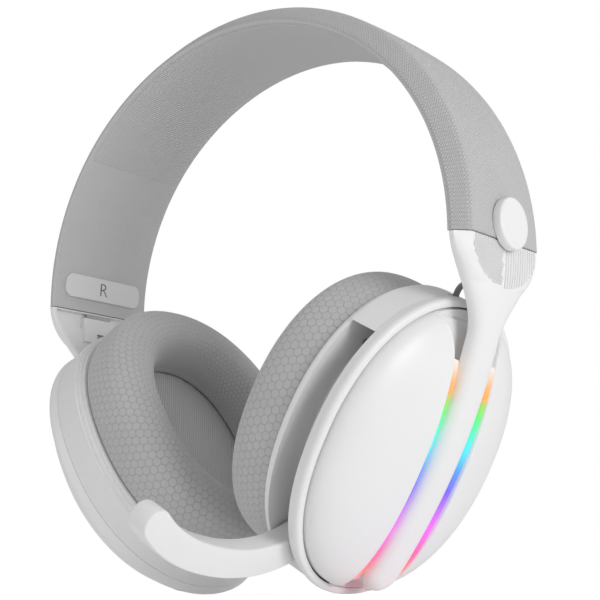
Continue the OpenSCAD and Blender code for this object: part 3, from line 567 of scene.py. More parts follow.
class HeadsetColours(bpy.types.PropertyGroup):
    """Colours of the finishes"""
    shell: FloatVectorProperty(name="Shell", description="White of the cups' covers, rims, arms and discs",
                               default=(0.86, 0.86, 0.865), min=0, max=1, size=3, subtype="COLOR")
    trim: FloatVectorProperty(name="Trim", description="Light grey of the ear labels, buttons and wheel",
                              default=(0.74, 0.74, 0.745), min=0, max=1, size=3, subtype="COLOR")
    cloth_light: FloatVectorProperty(name="Cloth, raised", description="Colour of the cloth's raised threads",
                                     default=(0.60, 0.60, 0.605), min=0, max=1, size=3, subtype="COLOR")
    # The sunk colour stands for the shade between the threads: painted shade
    cloth_dark: FloatVectorProperty(name="Cloth, sunk", description="Colour between the cloth's threads",
                                    default=(0.43, 0.43, 0.435), min=0, max=1, size=3, subtype="COLOR")
    mark: FloatVectorProperty(name="Mark", description="Grey of the ear letters",
                              default=(0.13, 0.13, 0.135), min=0, max=1, size=3, subtype="COLOR")


def sizes():
    return bpy.context.scene.headset_sizes


def colours():
    return bpy.context.scene.headset_colours


def mm(value):
    return 1000 * value


def tinted(colour, by):
    return tuple(by * v for v in colour)


# ---------------------------------------------------------------- operators
class HEADSET_OT_camera(bpy.types.Operator):
    """Set the camera that frames the headset"""
    bl_idname = "headset.camera"
    bl_label = "Camera"

    def execute(self, context):
        azimuth, elevation, roll = 38.86, -11.5, -0.43
        back = Vector((sin_d(azimuth) * cos_d(elevation), -cos_d(azimuth) * cos_d(elevation), sin_d(elevation)))
        right = Vector((cos_d(azimuth), sin_d(azimuth), 0))
        up = back.cross(right)
        right, up = right * cos_d(roll) + up * sin_d(roll), up * cos_d(roll) - right * sin_d(roll)
        data = bpy.data.cameras.new("camera")
        data.lens, data.sensor_width = 83.5, 36.0
        data.clip_start, data.clip_end = 0.01, 50
        camera = linked("camera", data)
        turn = Matrix((right, up, back)).transposed().to_4x4()
        camera.matrix_world = Matrix.Translation(Vector((0.0067, 0.0061, -0.0892)) + 0.471 * back) @ turn
        context.scene.camera = camera
        return {"FINISHED"}


class HEADSET_OT_finishes(bpy.types.Operator):
    """Make every finish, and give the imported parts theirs"""
    bl_idname = "headset.finishes"
    bl_label = "Finishes"

    def execute(self, context):
        for make in (grain_group, weave_group, knit_group, rib_group):
            make()
        c = colours()
        light, dark = tuple(c.cloth_light), tuple(c.cloth_dark)
        plastic("shell_white", c.shell, 0.38, bump=0.000004)
        plastic("shell_satin", tinted(c.shell, 0.97), 0.46, bump=0.000006)
        plastic("rib_white", tinted(c.shell, 0.84), 0.45)
        plastic("trim_grey", c.trim, 0.45, bump=0.000006)
        plastic("mark_grey", c.mark, 0.5)
        plastic("inner_dark", (0.035, 0.036, 0.04), 0.55, bump=0.00002)
        plastic("spring_steel", (0.55, 0.56, 0.58), 0.3, grain=900.0, metal=1.0)
        plastic("port_steel", (0.42, 0.42, 0.43), 0.35, metal=1.0)
        plastic("board_green", (0.02, 0.12, 0.05), 0.4)
        plastic("cell_wrap", (0.05, 0.09, 0.16), 0.35)
        plastic("cable_rubber", (0.24, 0.24, 0.245), 0.55, grain=1800.0)
        # Every cloth below darkens its colour where its relief sinks: painted shade between threads, between ribs and
        # in the knit's grooves
        cloth("band_twill", light, dark, "Woven cloth", 0.00010, Pitch=0.64, Turn=0.9, Slant=0.25)
        cloth("band_bevel_weave", tinted(light, 0.98), tinted(dark, 0.82), "Woven cloth", 0.00014,
              Pitch=0.84, Turn=0.78)
        cloth("band_lining", tinted(light, 1.1), tinted(dark, 1.1), "Woven cloth", 0.00008, Pitch=0.62)
        cloth("crown_rib", tinted(light, 1.06), tinted(dark, 0.94), "Fine ribs", 0.00013,
              mask="Groove", Pitch=0.8, Break=0.5)
        # The pads' groove colour is the raised colour darkened: painted shade in the knit's grooves
        cloth("pad_knit", tinted(light, 0.88), tinted(light, 0.72), "Six-sided knit", 0.00011,
              mask="Groove", sheen=0.3, Groove_width=0.06)
        cloth("speaker_rib", tinted(light, 1.1), tinted(dark, 1.1), "Fine ribs", 0.00014,
              mask="Groove", Pitch=0.95, Turn=0.5, Break=0.3)
        light_finish("light_diffuser")
        plain = {
            "inner_dark": ["headband_frame", "mic_capsule"] + self.pairs(
                "pad_plate", "baffle", "ball_liner", "ball_retainer", "driver_frame", "end_bracket"),
            "spring_steel": ["headband_spring", "boom_pin", "bracket_screws"] + self.pairs(
                "size_strip", "ball_stud", "arm_screws", "cup_screws", "driver_magnet"),
            "port_steel": ["usb_port"],
            "board_green": ["main_board"],
            "cell_wrap": ["battery"],
            "shell_satin": ["mic_boom_cover"] + self.pairs("arm_cover", "inner_housing"),
            "trim_grey": ["power_button", "mode_button", "volume_wheel"] + self.pairs("ear_label"),
        }
        for finish, names in plain.items():
            for name in names:
                finish_node(name, finish_of(finish))
        return {"FINISHED"}

    def pairs(self, *parts):
        """Names of the left and right copies of parts"""
        return [name + "_" + part for name, side in SIDES for part in parts]


class HEADSET_OT_band(bpy.types.Operator):
    """Sew the cloth cover of the headband"""
    bl_idname = "headset.band"
    bl_label = "Headband cover"

    def execute(self, context):
        swell = mm(sizes().cover_crown)
        stations = [-90 + i * 1.25 for i in range(145)]
        rings, runs = [], []

        def section(angle):
            k = abs(angle) / 90
            t, bevel = mix(CROWN_THICK, HEM_THICK, k), mix(CROWN_BEVEL, HEM_BEVEL, k)
            corners = ((-BAND_Y, 0, 1.1), (-BAND_Y, BAND_EDGE, 0.9), (-BAND_Y + bevel, t, 1.6),
                       (BAND_Y - bevel, t, 1.6), (BAND_Y, BAND_EDGE, 0.9), (BAND_Y, 0, 1.1))
            line = rounded(corners)
            flat = BAND_Y - bevel - 1.2
            first, second, spans = line[:18], line[18:], []
            for i in range(1, 14):
                y = mix(first[-1][0], second[0][0], i / 14)
                spans.append((y, t + swell * (1 - min(1, abs(y) / flat) ** 2)))
            under = [(mix(BAND_Y - 1, -BAND_Y + 1, i / 14), 0.0) for i in range(1, 14)]
            return first + spans + second + under

        hems = [[(90 * end, drop) for drop in drops] for end, drops in ((-1, (2.0, 1.0)), (1, (1.0, 2.0)))]
        for a, drop in hems[0] + [(a, 0.0) for a in stations] + hems[1]:
            ring = []
            for y, out in section(a):
                x, z = band_place(a, out)
                ring.append((x, y, z - drop))
            rings.append(ring)
            runs.append(band_run(a) + math.copysign(drop, a))
        across = run_along(section(0), closed=True)

        def finish(i, j):
            """Cloth of a face: twill on the top, coarse weave on the bevels, lining on the edges and below"""
            return 2 if j < 6 or j >= 43 else 1 if j < 15 or j >= 34 else 0

        skin = Skin()
        skin.loft(rings, coord=lambda i, j: (runs[min(i, len(runs) - 1)], across[j]), finish=finish)
        for ring in (rings[0], rings[-1]):
            side = 1 if ring[0][0] > 0 else -1
            skin.cap(ring, finish=2, centre=(side * (BAND_HALF + 3.1), 0, HEM_Z),
                     coord=lambda p: (abs(p[0]), p[1]))
        cover = skin.make("headband_cloth", [finish_of(n) for n in ("band_twill", "band_bevel_weave", "band_lining")],
                          sharp=50)
        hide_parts("headband_cover")
        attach(cover, "headband")
        return {"FINISHED"}


class HEADSET_OT_crown_cushion(bpy.types.Operator):
    """Sew the thin cushion under the crown"""
    bl_idname = "headset.crown_cushion"
    bl_label = "Crown cushion"

    def execute(self, context):
        rise, half, end = mm(sizes().cushion_rise), 21.4, 51.5
        angles = [end * math.sin(math.pi / 2 * (i / 40 - 1)) for i in range(81)]
        rings = []
        for a in angles:
            left = (end - abs(a)) * 1.5
            fill = min(1.0, math.sqrt(max(0.0, left / 9))) if left < 9 else 1.0
            ring = []
            for t in turns(64):
                y = half * math.copysign(abs(math.cos(t)) ** 0.35, math.cos(t))
                n = math.copysign(abs(math.sin(t)) ** 0.7, math.sin(t))
                out = -rise * n * fill if n > 0 else -0.9 * n
                x, z = band_place(a, out)
                ring.append((x, y, z))
            rings.append(ring)
        across = run_along(rings[40], closed=True)
        skin = Skin()
        skin.loft(rings, coord=lambda i, j: (band_run(angles[min(i, 80)]), across[j]))
        for ring, a in ((rings[0], angles[0]), (rings[-1], angles[-1])):
            x, z = band_place(a, 0.4)
            skin.cap(ring, centre=(x, 0, z))
        cushion = skin.make("crown_cushion", [finish_of("crown_rib")], sharp=60)
        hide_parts("headband_pad")
        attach(cushion, "headband")
        return {"FINISHED"}


class HEADSET_OT_discs_and_labels(bpy.types.Operator):
    """Turn the discs and letter the ear labels"""
    bl_idname = "headset.discs_and_labels"
    bl_label = "Discs and ear labels"

    def execute(self, context):
        for name, side in SIDES:
            profile = ((7.4, 0.0), (7.95, 0.12), (8.0, 0.35), (8.0, 2.35), (7.9, 2.62), (7.62, 2.86), (7.3, 2.97),
                       (6.9, 3.0), (4.0, 3.0), (2.0, 3.0))
            skin = Skin()
            rings = [[(side * (DISC_X + h), r * math.cos(t), HEM_Z + DISC_RISE + r * math.sin(t)) for t in turns(96)]
                     for r, h in profile]
            skin.loft(rings)
            for ring, h in ((rings[0], profile[0][1]), (rings[-1], profile[-1][1])):
                skin.cap(ring, centre=(side * (DISC_X + h), 0, HEM_Z + DISC_RISE))
            disc = skin.make(name + "_disc", [finish_of("shell_white")], sharp=50)
            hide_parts(name + "_disc_cap")
            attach(disc, "headband")
            self.letter(name, side)
        return {"FINISHED"}

    def letter(self, name, side):
        font = bpy.data.curves.new(name + "_letter", "FONT")
        font.body, font.size, font.extrude = name[0].upper(), 7.2, 0.05
        font.align_x, font.align_y, font.offset = "CENTER", "CENTER", -0.10
        carrier = linked(name + "_letter_line", font)
        bpy.context.view_layer.update()
        mesh = bpy.data.meshes.new_from_object(carrier)
        bpy.data.objects.remove(carrier)
        middle = math.degrees(math.acos((HEM_Z + LABEL_RISE - SIDE_Z) / SIDE_RADIUS))
        for v in mesh.vertices:
            across, up, lift = v.co
            x, z = band_place(middle - math.degrees(up / SIDE_RADIUS), -1.02 - lift)
            v.co = Vector((side * x, -side * across, z)) * 0.001
        mesh.update()
        mesh.materials.clear()
        mesh.materials.append(finish_of("mark_grey"))
        letter = linked(name + "_ear_letter", mesh)
        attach(letter, "headband")


class HEADSET_OT_arms(bpy.types.Operator):
    """Shape the arms from the hem to their round tails"""
    bl_idname = "headset.arms"
    bl_label = "Arms"

    def execute(self, context):
        for name, side in SIDES:
            arm = self.shell(name, side)
            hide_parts(name + "_arm_shell")
            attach(arm, name + "_arm")
        return {"FINISHED"}

    def shell(self, name, side):
        """The arm, ring by ring: each has its lean and how far it is past the middle of the round tail"""
        skin, rings = Skin(), []
        end = math.degrees(math.asin(ARM_HALF / BOW_RADIUS))
        marks = [(BEND_LEAN * k / 44, 0.0) for k in range(45)]
        marks += [(mix(BEND_LEAN, TAIL_LEAN, k / 60), 0.0) for k in range(1, 61)]
        for k in range(1, 17):
            reach = math.sin(math.pi / 2 * k / 16)
            marks.append((TAIL_LEAN + end * reach, ARM_HALF * reach))
        steps = []
        for lean, past in marks:
            below = ARM_TOP - arm_place(lean, 0)[1]
            half = math.sqrt(max(0.0009, ARM_HALF ** 2 - past ** 2)) if past else arm_half_width(ARM_TOP - below)
            room = half - 1.7 if not past else math.sqrt(max(0.0, 25 - past ** 2))
            deep = below > 0.4 and room > 0.6
            steps.append((lean, past, below, half, room, deep))
        for i, step in enumerate(steps):
            lean, past, below, half, room, deep = step
            if i and deep != steps[i - 1][5]:
                rings.append(self.ring(side, lean, past, below, half, room, not deep))
            rings.append(self.ring(side, lean, past, below, half, room, deep))
        skin.tube(rings)
        return skin.make(name + "_arm", [finish_of("shell_white")], sharp=32)

    def ring(self, side, lean, past, below, half, room, deep):
        """Section of the arm, with its points on the creases and a hollow behind it where it is deep"""
        line, crease = [], arm_crease(half, ARM_LONG if past else below)
        for k in range(41):
            q = 1 - 2 * k / 40
            y = 2 * crease * abs(q) if abs(q) < 0.5 else crease + (half - crease) * (1 - (2 - 2 * abs(q)) ** 1.5)
            y = math.copysign(y, q)
            out = arm_face(y, half, below)
            if past:
                out = arm_face(min(ARM_HALF, math.hypot(past, y)), ARM_HALF, ARM_LONG)
            line.append((y, out))
        floor = -0.5 if deep else -ARM_HALF_THICK
        edge = min(0.5, 0.3 * half)
        room = max(0.05 * half, min(room, half - edge - 0.1))
        line += [(-half, -2.2), (-half + edge, -ARM_HALF_THICK), (-room, -ARM_HALF_THICK), (-room, floor),
                 (-0.3 * room, floor), (0.3 * room, floor), (room, floor), (room, -ARM_HALF_THICK),
                 (half - edge, -ARM_HALF_THICK), (half, -2.2)]
        points = []
        for y, out in line:
            x, z = arm_place(lean, out)
            points.append((side * x, y, z))
        return points


def rib_tree():
    """Ribs along guide lines, as round beads that stand half out of a surface"""
    tree = bpy.data.node_groups.new("Raised ribs", "GeometryNodeTree")
    for label, kind, way in (("Geometry", "NodeSocketGeometry", "INPUT"), ("Rib radius", "NodeSocketFloat", "INPUT"),
                             ("Finish", "NodeSocketMaterial", "INPUT"), ("Geometry", "NodeSocketGeometry", "OUTPUT")):
        tree.interface.new_socket(label, in_out=way, socket_type=kind)
    inp = add(tree, "NodeGroupInput").outputs
    line = add(tree, "GeometryNodeMeshToCurve", {"Mesh": inp["Geometry"]})
    bead = add(tree, "GeometryNodeCurvePrimitiveCircle", {"Resolution": 8, "Radius": inp["Rib radius"]})
    ribs = add(tree, "GeometryNodeCurveToMesh", {"Curve": line.outputs[0], "Profile Curve": bead.outputs[0],
                                                 "Fill Caps": True})
    smooth = add(tree, "GeometryNodeSetShadeSmooth", {"Geometry": ribs.outputs[0]})
    real = add(tree, "GeometryNodeRealizeInstances", {"Geometry": smooth.outputs[0]})
    done = add(tree, "GeometryNodeSetMaterial", {"Geometry": real.outputs[0], "Material": inp["Finish"]})
    tree.links.new(done.outputs[0], add(tree, "NodeGroupOutput").inputs[0])
    return tree


def grown(name, guide, tree, **values):
    """The plain mesh that a tree grows on a guide"""
    carrier = linked(name + "_guide", guide)
    modifier = carrier.modifiers.new("Grow", "NODES")
    modifier.node_group = tree
    ids = {item.name: item.identifier for item in tree.interface.items_tree if item.in_out == "INPUT"}
    for key, value in values.items():
        modifier[ids[key.replace("_", " ")]] = value
    result = carrier.evaluated_get(bpy.context.evaluated_depsgraph_get())
    mesh = bpy.data.meshes.new_from_object(result)
    bpy.data.objects.remove(carrier)
    mesh.name = name
    return linked(name, mesh)


class HEADSET_OT_arm_ribs(bpy.types.Operator):
    """Raise the fine ribs on the arms under the discs"""
    bl_idname = "headset.arm_ribs"
    bl_label = "Arm ribs"

    def execute(self, context):
        tree = rib_tree()
        for name, side in SIDES:
            lines = []
            for k in range(13):
                y = RIB_PITCH * (k + 0.5)
                lines.append([(y, d) for d in self.steps(0.3, self.arch(ARCH_DROP, y) - 0.3)])
            for k in range(-13, 14):
                slanted = [(RIB_PITCH * (k + d) - 17.1, d) for d in self.steps(0.3, 13.3)]
                lines.append([(y, d) for y, d in slanted if -17.8 <= y <= -0.9 and d < self.arch(13.3, y)])
            lines += [[(0, d), (0, d + 0.15)] for d in (1.2 + 1.85 * k for k in range(6))]
            points, edges = [], []
            for line in lines:
                if len(line) < 2:
                    continue
                for k, (y, d) in enumerate(line):
                    lean = math.degrees(math.asin(d / BEND_RADIUS))
                    x, z = arm_place(lean, arm_face(y, arm_half_width(ARM_TOP - d), d))
                    points.append((side * x * 0.001, y * 0.001, z * 0.001))
                    if k:
                        edges.append((len(points) - 2, len(points) - 1))
            guide = bpy.data.meshes.new(name + "_rib_lines")
            guide.from_pydata(points, edges, [])
            ribs = grown(name + "_arm_ribs", guide, tree, Rib_radius=sizes().rib_radius,
                         Finish=finish_of("rib_white"))
            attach(ribs, name + "_arm")
        return {"FINISHED"}

    def arch(self, drop, y):
        """How far the ribs' arch falls at y"""
        return drop * math.sqrt(1 - (y / ARCH_HALF) ** 2)

    def steps(self, first, last):
        count = max(1, round((last - first) / 0.8))
        return [mix(first, last, k / count) for k in range(count + 1)]


class HEADSET_OT_rims(bpy.types.Operator):
    """Mould the rims between the cups' covers and housings, and lay a dark ring of painted shade under each seam"""
    bl_idname = "headset.rims"
    bl_label = "Rims"

    def execute(self, context):
        inner = RIM_INNER - mm(sizes().seam_gap)
        section = ((0.0, 0.72), (0.9, 0.55), (1.8, 0.3), (2.6, 0.1), (3.3, 0.04), (3.9, 0.2), (4.3, 0.55),
                   (4.48, 1.0), (4.5, 1.4), (4.5, inner - 0.5), (4.42, inner - 0.15), (4.2, inner), (0.0, inner))
        # A dark ring just under the gap between cover and rim: painted shade, a dark sheet put where the seam is in
        # shade
        shade_section = ((1.75, 2.3), (2.6, 2.3), (2.6, 3.3), (1.75, 3.3))
        for name, side in SIDES:
            rim = cup_ring_piece(name + "_rim", side, section, "shell_white", sharp=45)
            # The ring of painted seam shade, in the dark inner finish
            shade_ring = cup_ring_piece(name + "_painted_seam_shade", side, shade_section, "inner_dark")
            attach(shade_ring, name + "_cup")
            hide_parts(name + "_rim_ring")
            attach(rim, name + "_cup")
        return {"FINISHED"}


class HEADSET_OT_outer_covers(bpy.types.Operator):
    """Press the domed covers with their light channels"""
    bl_idname = "headset.outer_covers"
    bl_label = "Outer covers"

    def execute(self, context):
        for name, side in SIDES:
            cover = self.cover(name, side)
            wall = cover.modifiers.new("Wall", "SOLIDIFY")
            wall.thickness, wall.offset = 0.0011, -1
            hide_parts(name + "_outer_cover")
            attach(cover, name + "_cup")
        return {"FINISHED"}

    def edge(self, s):
        """Half of the channel's width, which opens out towards the top"""
        return CHANNEL_HALF + (5 * ((s - 28) / 15.8) ** 3 if s > 28 else 0.0)

    def cover(self, name, side):
        """Two lobes with lips and walls along the channel, its floor, an apron at each end and a skirt"""
        lip = mm(sizes().lip)
        low, high, upper = -outline_height(CHANNEL_HALF), 43.75, outline_height(CHANNEL_TOP)
        angle_low = -math.asin((abs(low) / DOME_S) ** (POWER / 2))
        angle_high = math.asin((upper / DOME_S) ** (POWER / 2))
        rows, columns = 84, 30
        skin = Skin()
        rims, walls = {}, {}
        for half in (1, -1):
            lobe, wall_rows, rim = [], [], []
            for i in range(rows + 1):
                k = 0.5 - 0.5 * math.cos(math.pi * i / rows)
                k = mix(i / rows, k, 0.55)
                s = mix(low, upper, k)
                e = Vector((CHANNEL_TOP, upper)) if i == rows else Vector((self.edge(min(s, high)), s))
                t = mix(angle_low, angle_high, k)
                o = Vector((DOME_Y * abs(math.cos(t)) ** (2 / POWER),
                            DOME_S * math.copysign(abs(math.sin(t)) ** (2 / POWER), math.sin(t))))
                span = (o - e).length
                r = min(lip, 0.2 * span)
                line = []
                top = dome_depth(e.x, e.y)
                foot = min(channel_depth(s), top - 1.2 * r - 0.02)
                for away, fall in ((0.0, 1.0), (0.08, 0.6), (0.3, 0.28), (0.6, 0.08)):
                    p = e.lerp(o, away * r / span) if span > 1e-6 else e
                    line.append((p, top - fall * r))
                for j in range(columns + 1):
                    w = j / columns
                    w = mix(r / span if span > 1e-6 else 0, 1, 1 - (1 - w) ** 2)
                    p = e.lerp(o, w)
                    line.append((p, dome_depth(p.x, p.y) if j < columns else DOME_BASE))
                lobe.append([cup_place(side, d, half * p.x, p.y) for p, d in line])
                wall_rows.append([cup_place(side, mix(foot, top - r, q), half * e.x, e.y) for q in (0, 0.5, 1)])
                rim.append((half * o.x, o.y))
                walls.setdefault(i, {})[half] = (e.x, e.y, foot)
            skin.loft(lobe, ring_closed=False)
            skin.loft(wall_rows, ring_closed=False)
            rims[half] = rim
        floor = []
        for i in range(rows + 1):
            y, s, foot = walls[i][1]
            floor.append([cup_place(side, foot, mix(-y, y, q / 14), s) for q in range(15)])
        skin.loft(floor, ring_closed=False)
        arcs = {}
        for end, i in ((-1, 0), (1, rows)):
            y, s, foot = walls[i][1]
            arcs[end] = [(at, end * outline_height(at)) for at in (mix(-y, y, q / 14) for q in range(15))]
            apron = [[cup_place(side, mix(foot, DOME_BASE, k / 4), at, mix(s, far, k / 4)) for at, far in arcs[end]]
                     for k in range(5)]
            skin.loft(apron, ring_closed=False)
        loop = rims[1] + arcs[1][::-1][1:-1] + rims[-1][::-1] + arcs[-1][1:-1]
        skirt = [[cup_place(side, d, *p) for p in loop] for d in (DOME_BASE, 3.2, 1.7)]
        skin.loft(skirt)
        piece = skin.make(name + "_cover", [finish_of("shell_white")], sharp=34,
                          outward=(side * cos_d(CUP_LEAN), 0, -sin_d(CUP_LEAN)))
        self.stud_hole(piece, side)
        return piece

    def stud_hole(self, piece, side):
        """Opens the channel's floor round the ball stud, under the arm"""
        middle = Vector(cup_place(side, channel_depth(BALL_S), 0, BALL_S)) * 0.001
        bm = bmesh.new()
        bm.from_mesh(piece.data)
        gone = [f for f in bm.faces if (f.calc_center_median() - middle).length < 0.0052]
        bmesh.ops.delete(bm, geom=gone, context="FACES")
        bm.to_mesh(piece.data)
        bm.free()


class HEADSET_OT_lights(bpy.types.Operator):
    """Fit the lit strips beside the arms"""
    bl_idname = "headset.lights"
    bl_label = "Light strips"

    def execute(self, context):
        for name, side in SIDES:
            skin = Skin()
            for half in (-1, 1):
                rings = []
                for i in range(61):
                    s = mix(-40.5, 33, i / 60)
                    low = channel_depth(s) + 0.1
                    top = min(bowed(LIGHT_TOP, BOW_RADIUS, s), dome_depth(LIGHT_Y, s) - 0.5)
                    line = rounded(((-LIGHT_HALF, low, 0.1), (-LIGHT_HALF, top, 0.6),
                                    (LIGHT_HALF, top, 0.6), (LIGHT_HALF, low, 0.1)), steps=4)
                    rings.append([cup_place(side, d, half * LIGHT_Y + y, s) for y, d in line])
                skin.loft(rings, coord=lambda i, j: (i / 60, j / 20))
                skin.cap(rings[0], coord=lambda p: (0.0, 0.5))
                skin.cap(rings[-1], coord=lambda p: (1.0, 0.5))
            strips = skin.make(name + "_light_strips", [finish_of("light_diffuser")], sharp=45)
            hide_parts(name + "_light_bars")
            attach(strips, name + "_cup")
        return {"FINISHED"}


class HEADSET_OT_ear_pads(bpy.types.Operator):
    """Sew and fill the ear pads"""
    bl_idname = "headset.ear_pads"
    bl_label = "Ear pads"

    def execute(self, context):
        for name, side in SIDES:
            pad = self.sewn(name, side)
            self.fill(pad)
            soft = pad.modifiers.new("Soft", "SUBSURF")
            soft.levels = soft.render_levels = 1
            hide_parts(name + "_ear_pad")
            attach(pad, name + "_cup")
        return {"FINISHED"}

    def sewn(self, name, side):
        """The pad's closed tube, with cells of the knit counted round the pad and across it"""
        f, b = PAD_FACE, PAD_BACK
        path = ((b, 4.3), (b - 1.2, 3.2), (b - 5, 2.5), (b - 10, 2.3), (f + 6.5, 2.8), (f + 3.6, 4.4), (f + 1.5, 7.2),
                (f + 0.5, 10.6), (f + 0.5, 13.4), (f + 1.6, 16.4), (f + 4, 18.7), (f + 7.5, 20.2), (f + 12, 20.9),
                (b - 4.5, 20.7), (b - 2.2, 20.3), (b - 1.8, 12.0))
        section = curve_through(path, 64, closed=True)
        count, cells = 208, sizes().pad_cells
        rings = [[cup_place(side, p.x, *cup_outline(p.y, t)) for t in turns(count)] for p in section]
        runs = [0.0]
        for i, p in enumerate(section):
            q = section[(i + 1) % len(section)]
            around = math.pi * (CUP_Y + CUP_S - p.y - q.y)
            runs.append(runs[-1] + (q - p).length * cells / around)
        arc = run_along([cup_outline(10, t) for t in turns(count)], closed=True)
        skin = Skin()
        skin.loft(rings, path_closed=True, coord=lambda i, j: (cells * arc[j] / arc[-1], runs[i]))
        return skin.make(name + "_pad", [finish_of("pad_knit")], sharp=70)

    def fill(self, pad):
        """Blows the sewn shape up as cloth over its foam, and stops each point at the swell allowed"""
        scene = bpy.context.scene
        held = pad.vertex_groups.new(name="held")
        out = Vector(cup_place(1, 1, 0, 0)) - Vector(cup_place(1, 0, 0, 0))
        side = 1 if pad.data.vertices[0].co.x > 0 else -1
        out.x *= side
        origin = Vector(cup_place(side, 0, 0, 0)) * 0.001
        for v in pad.data.vertices:
            if (v.co - origin).dot(out) > 0.001 * (PAD_BACK - 3):
                held.add([v.index], 1.0, "REPLACE")
        start = [v.co.copy() for v in pad.data.vertices]
        work = pad.modifiers.new("Fill", "CLOTH")
        s = work.settings
        s.quality, s.mass = 5, 0.2
        s.tension_stiffness = s.compression_stiffness = 20
        s.shear_stiffness, s.bending_stiffness = 8, 0.6
        s.use_pressure, s.uniform_pressure_force = True, 4.0
        s.effector_weights.gravity = 0
        s.vertex_group_mass = "held"
        work.point_cache.frame_start, work.point_cache.frame_end = 1, 20
        for number in range(1, 21):
            scene.frame_set(number)
        filled = pad.evaluated_get(bpy.context.evaluated_depsgraph_get())
        places = [v.co.copy() for v in filled.to_mesh().vertices]
        filled.to_mesh_clear()
        pad.modifiers.remove(work)
        scene.frame_set(1)
        most = sizes().pad_swell
        for v, a, b in zip(pad.data.vertices, start, places):
            move = b - a
            if move.length > most:
                move = move.normalized() * most
            v.co = a + move
        pad.vertex_groups.clear()
        pad.data.update()


class HEADSET_OT_speaker_cloths(bpy.types.Operator):
    """Stretch the ribbed cloths over the speakers"""
    bl_idname = "headset.speaker_cloths"
    bl_label = "Speaker cloths"

    def execute(self, context):
        inset, rows, count = 19.0, 22, 128
        for name, side in SIDES:
            skin, rings, flat = Skin(), [], []
            for i in range(rows):
                k = 1 - i / rows
                flat.append([(y * k, s * k) for y, s in (cup_outline(inset, t) for t in turns(count))])
                rings.append([cup_place(side, SPEAKER_DEPTH - SPEAKER_SAG * (1 - k * k), *p) for p in flat[-1]])
            skin.loft(rings, coord=lambda i, j, flat=flat: flat[min(i, rows - 1)][j % count])
            skin.cap(rings[-1], centre=cup_place(side, SPEAKER_DEPTH - SPEAKER_SAG, 0, 0), coord=lambda p: (p[1], 0))
            inward = (-side * cos_d(CUP_LEAN), 0, sin_d(CUP_LEAN))
            sheet = skin.make(name + "_speaker_fabric", [finish_of("speaker_rib")], outward=inward, sharp=60)
            plan = flat[0]
            area = 0.5 * abs(sum(p[0] * q[1] - q[0] * p[1] for p, q in zip(plan, plan[1:] + plan[:1])))
            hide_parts(name + "_speaker_cloth")
            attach(sheet, name + "_cup")
        return {"FINISHED"}


class HEADSET_OT_boom(bpy.types.Operator):
    """Shape the microphone's boom"""
    bl_idname = "headset.boom"
    bl_label = "Microphone boom"

    def execute(self, context):
        steps, first, last = 60, -52, 37.5
        middle = []
        for i in range(steps + 1):
            t = mix(first, last, i / steps)
            inset = BOOM_INSET + BOOM_BOW * cos_d((t - (first + last) / 2) * 180 / (last - first))
            y, s = cup_outline(inset, math.radians(t))
            middle.append(Vector((-y, s)))
        pivot, drop = middle[0], Matrix.Rotation(math.radians(BOOM_DROP), 2)
        turned = [pivot + drop @ (p - pivot) for p in middle]

        def outline(half):
            """Line round the boom's plan at a half width, with round ends"""
            def arc(at, before, count):
                d = (turned[at] - turned[before]).normalized()
                n = Vector((-d.y, d.x))
                return [turned[at] + (n * math.cos(math.pi * k / count) + d * math.sin(math.pi * k / count)) * half
                        for k in range(1, count)]

            left, right = [], []
            for i, p in enumerate(turned):
                d = (turned[min(steps, i + 1)] - turned[max(0, i - 1)]).normalized()
                n = Vector((-d.y, d.x)) * half
                left.append(p + n)
                right.append(p - n)
            return left + arc(steps, steps - 1, 20) + right[::-1] + arc(0, 1, 20)

        levels = ((BOOM_LOW + 1.5, 3.25), (BOOM_LOW + 0.1, 3.25), (BOOM_LOW, 3.35), (BOOM_LOW, 4.0),
                  (BOOM_LOW + 0.12, 4.3), (BOOM_LOW + 0.4, 4.52), (BOOM_LOW + 0.8, BOOM_HALF),
                  (BOOM_HIGH - 0.8, BOOM_HALF),
                  (BOOM_HIGH - 0.4, 4.54), (BOOM_HIGH - 0.14, 4.38), (BOOM_HIGH - 0.03, 4.16), (BOOM_HIGH, 3.9))
        skin = Skin()
        rings = [[cup_place(1, d, p.x, p.y) for p in outline(half)] for d, half in levels]
        skin.tube(rings)
        boom = skin.make("microphone_boom", [finish_of("shell_white")], sharp=40)
        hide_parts("mic_boom")
        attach(boom, "boom")
        return {"FINISHED"}


class HEADSET_OT_cables(bpy.types.Operator):
    """Lead the flat cables from the cups into the arms"""
    bl_idname = "headset.cables"
    bl_label = "Link cables"

    def execute(self, context):
        line = curve_through(((-2.2, -2.3), (-2.2, 1.6), (-0.6, 4.2), (4.6, 7.2), (6.4, 9.6)), 40)
        flat = rounded(((-1.25, -0.5, 0.4), (-1.25, 0.5, 0.4), (1.25, 0.5, 0.4), (1.25, -0.5, 0.4)), 4)
        for name, side in SIDES:
            rings = []
            for i, p in enumerate(line):
                d = (line[min(40, i + 1)] - line[max(0, i - 1)]).normalized()
                places = [(y, p + Vector((-d.y, d.x)) * t) for y, t in flat]
                rings.append([cup_place(side, at.x, y, CUP_S + at.y) for y, at in places])
            skin = Skin()
            skin.tube(rings)
            cable = skin.make(name + "_cable", [finish_of("cable_rubber")], sharp=50)
            start = Vector(cup_place(side, 6.4, 0, CUP_S + 9.6)) * 0.001
            end = Vector(cup_place(side, -2.2, 0, CUP_S - 1.5)) * 0.001
            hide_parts(name + "_link_cable")
            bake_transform(cable)
        return {"FINISHED"}


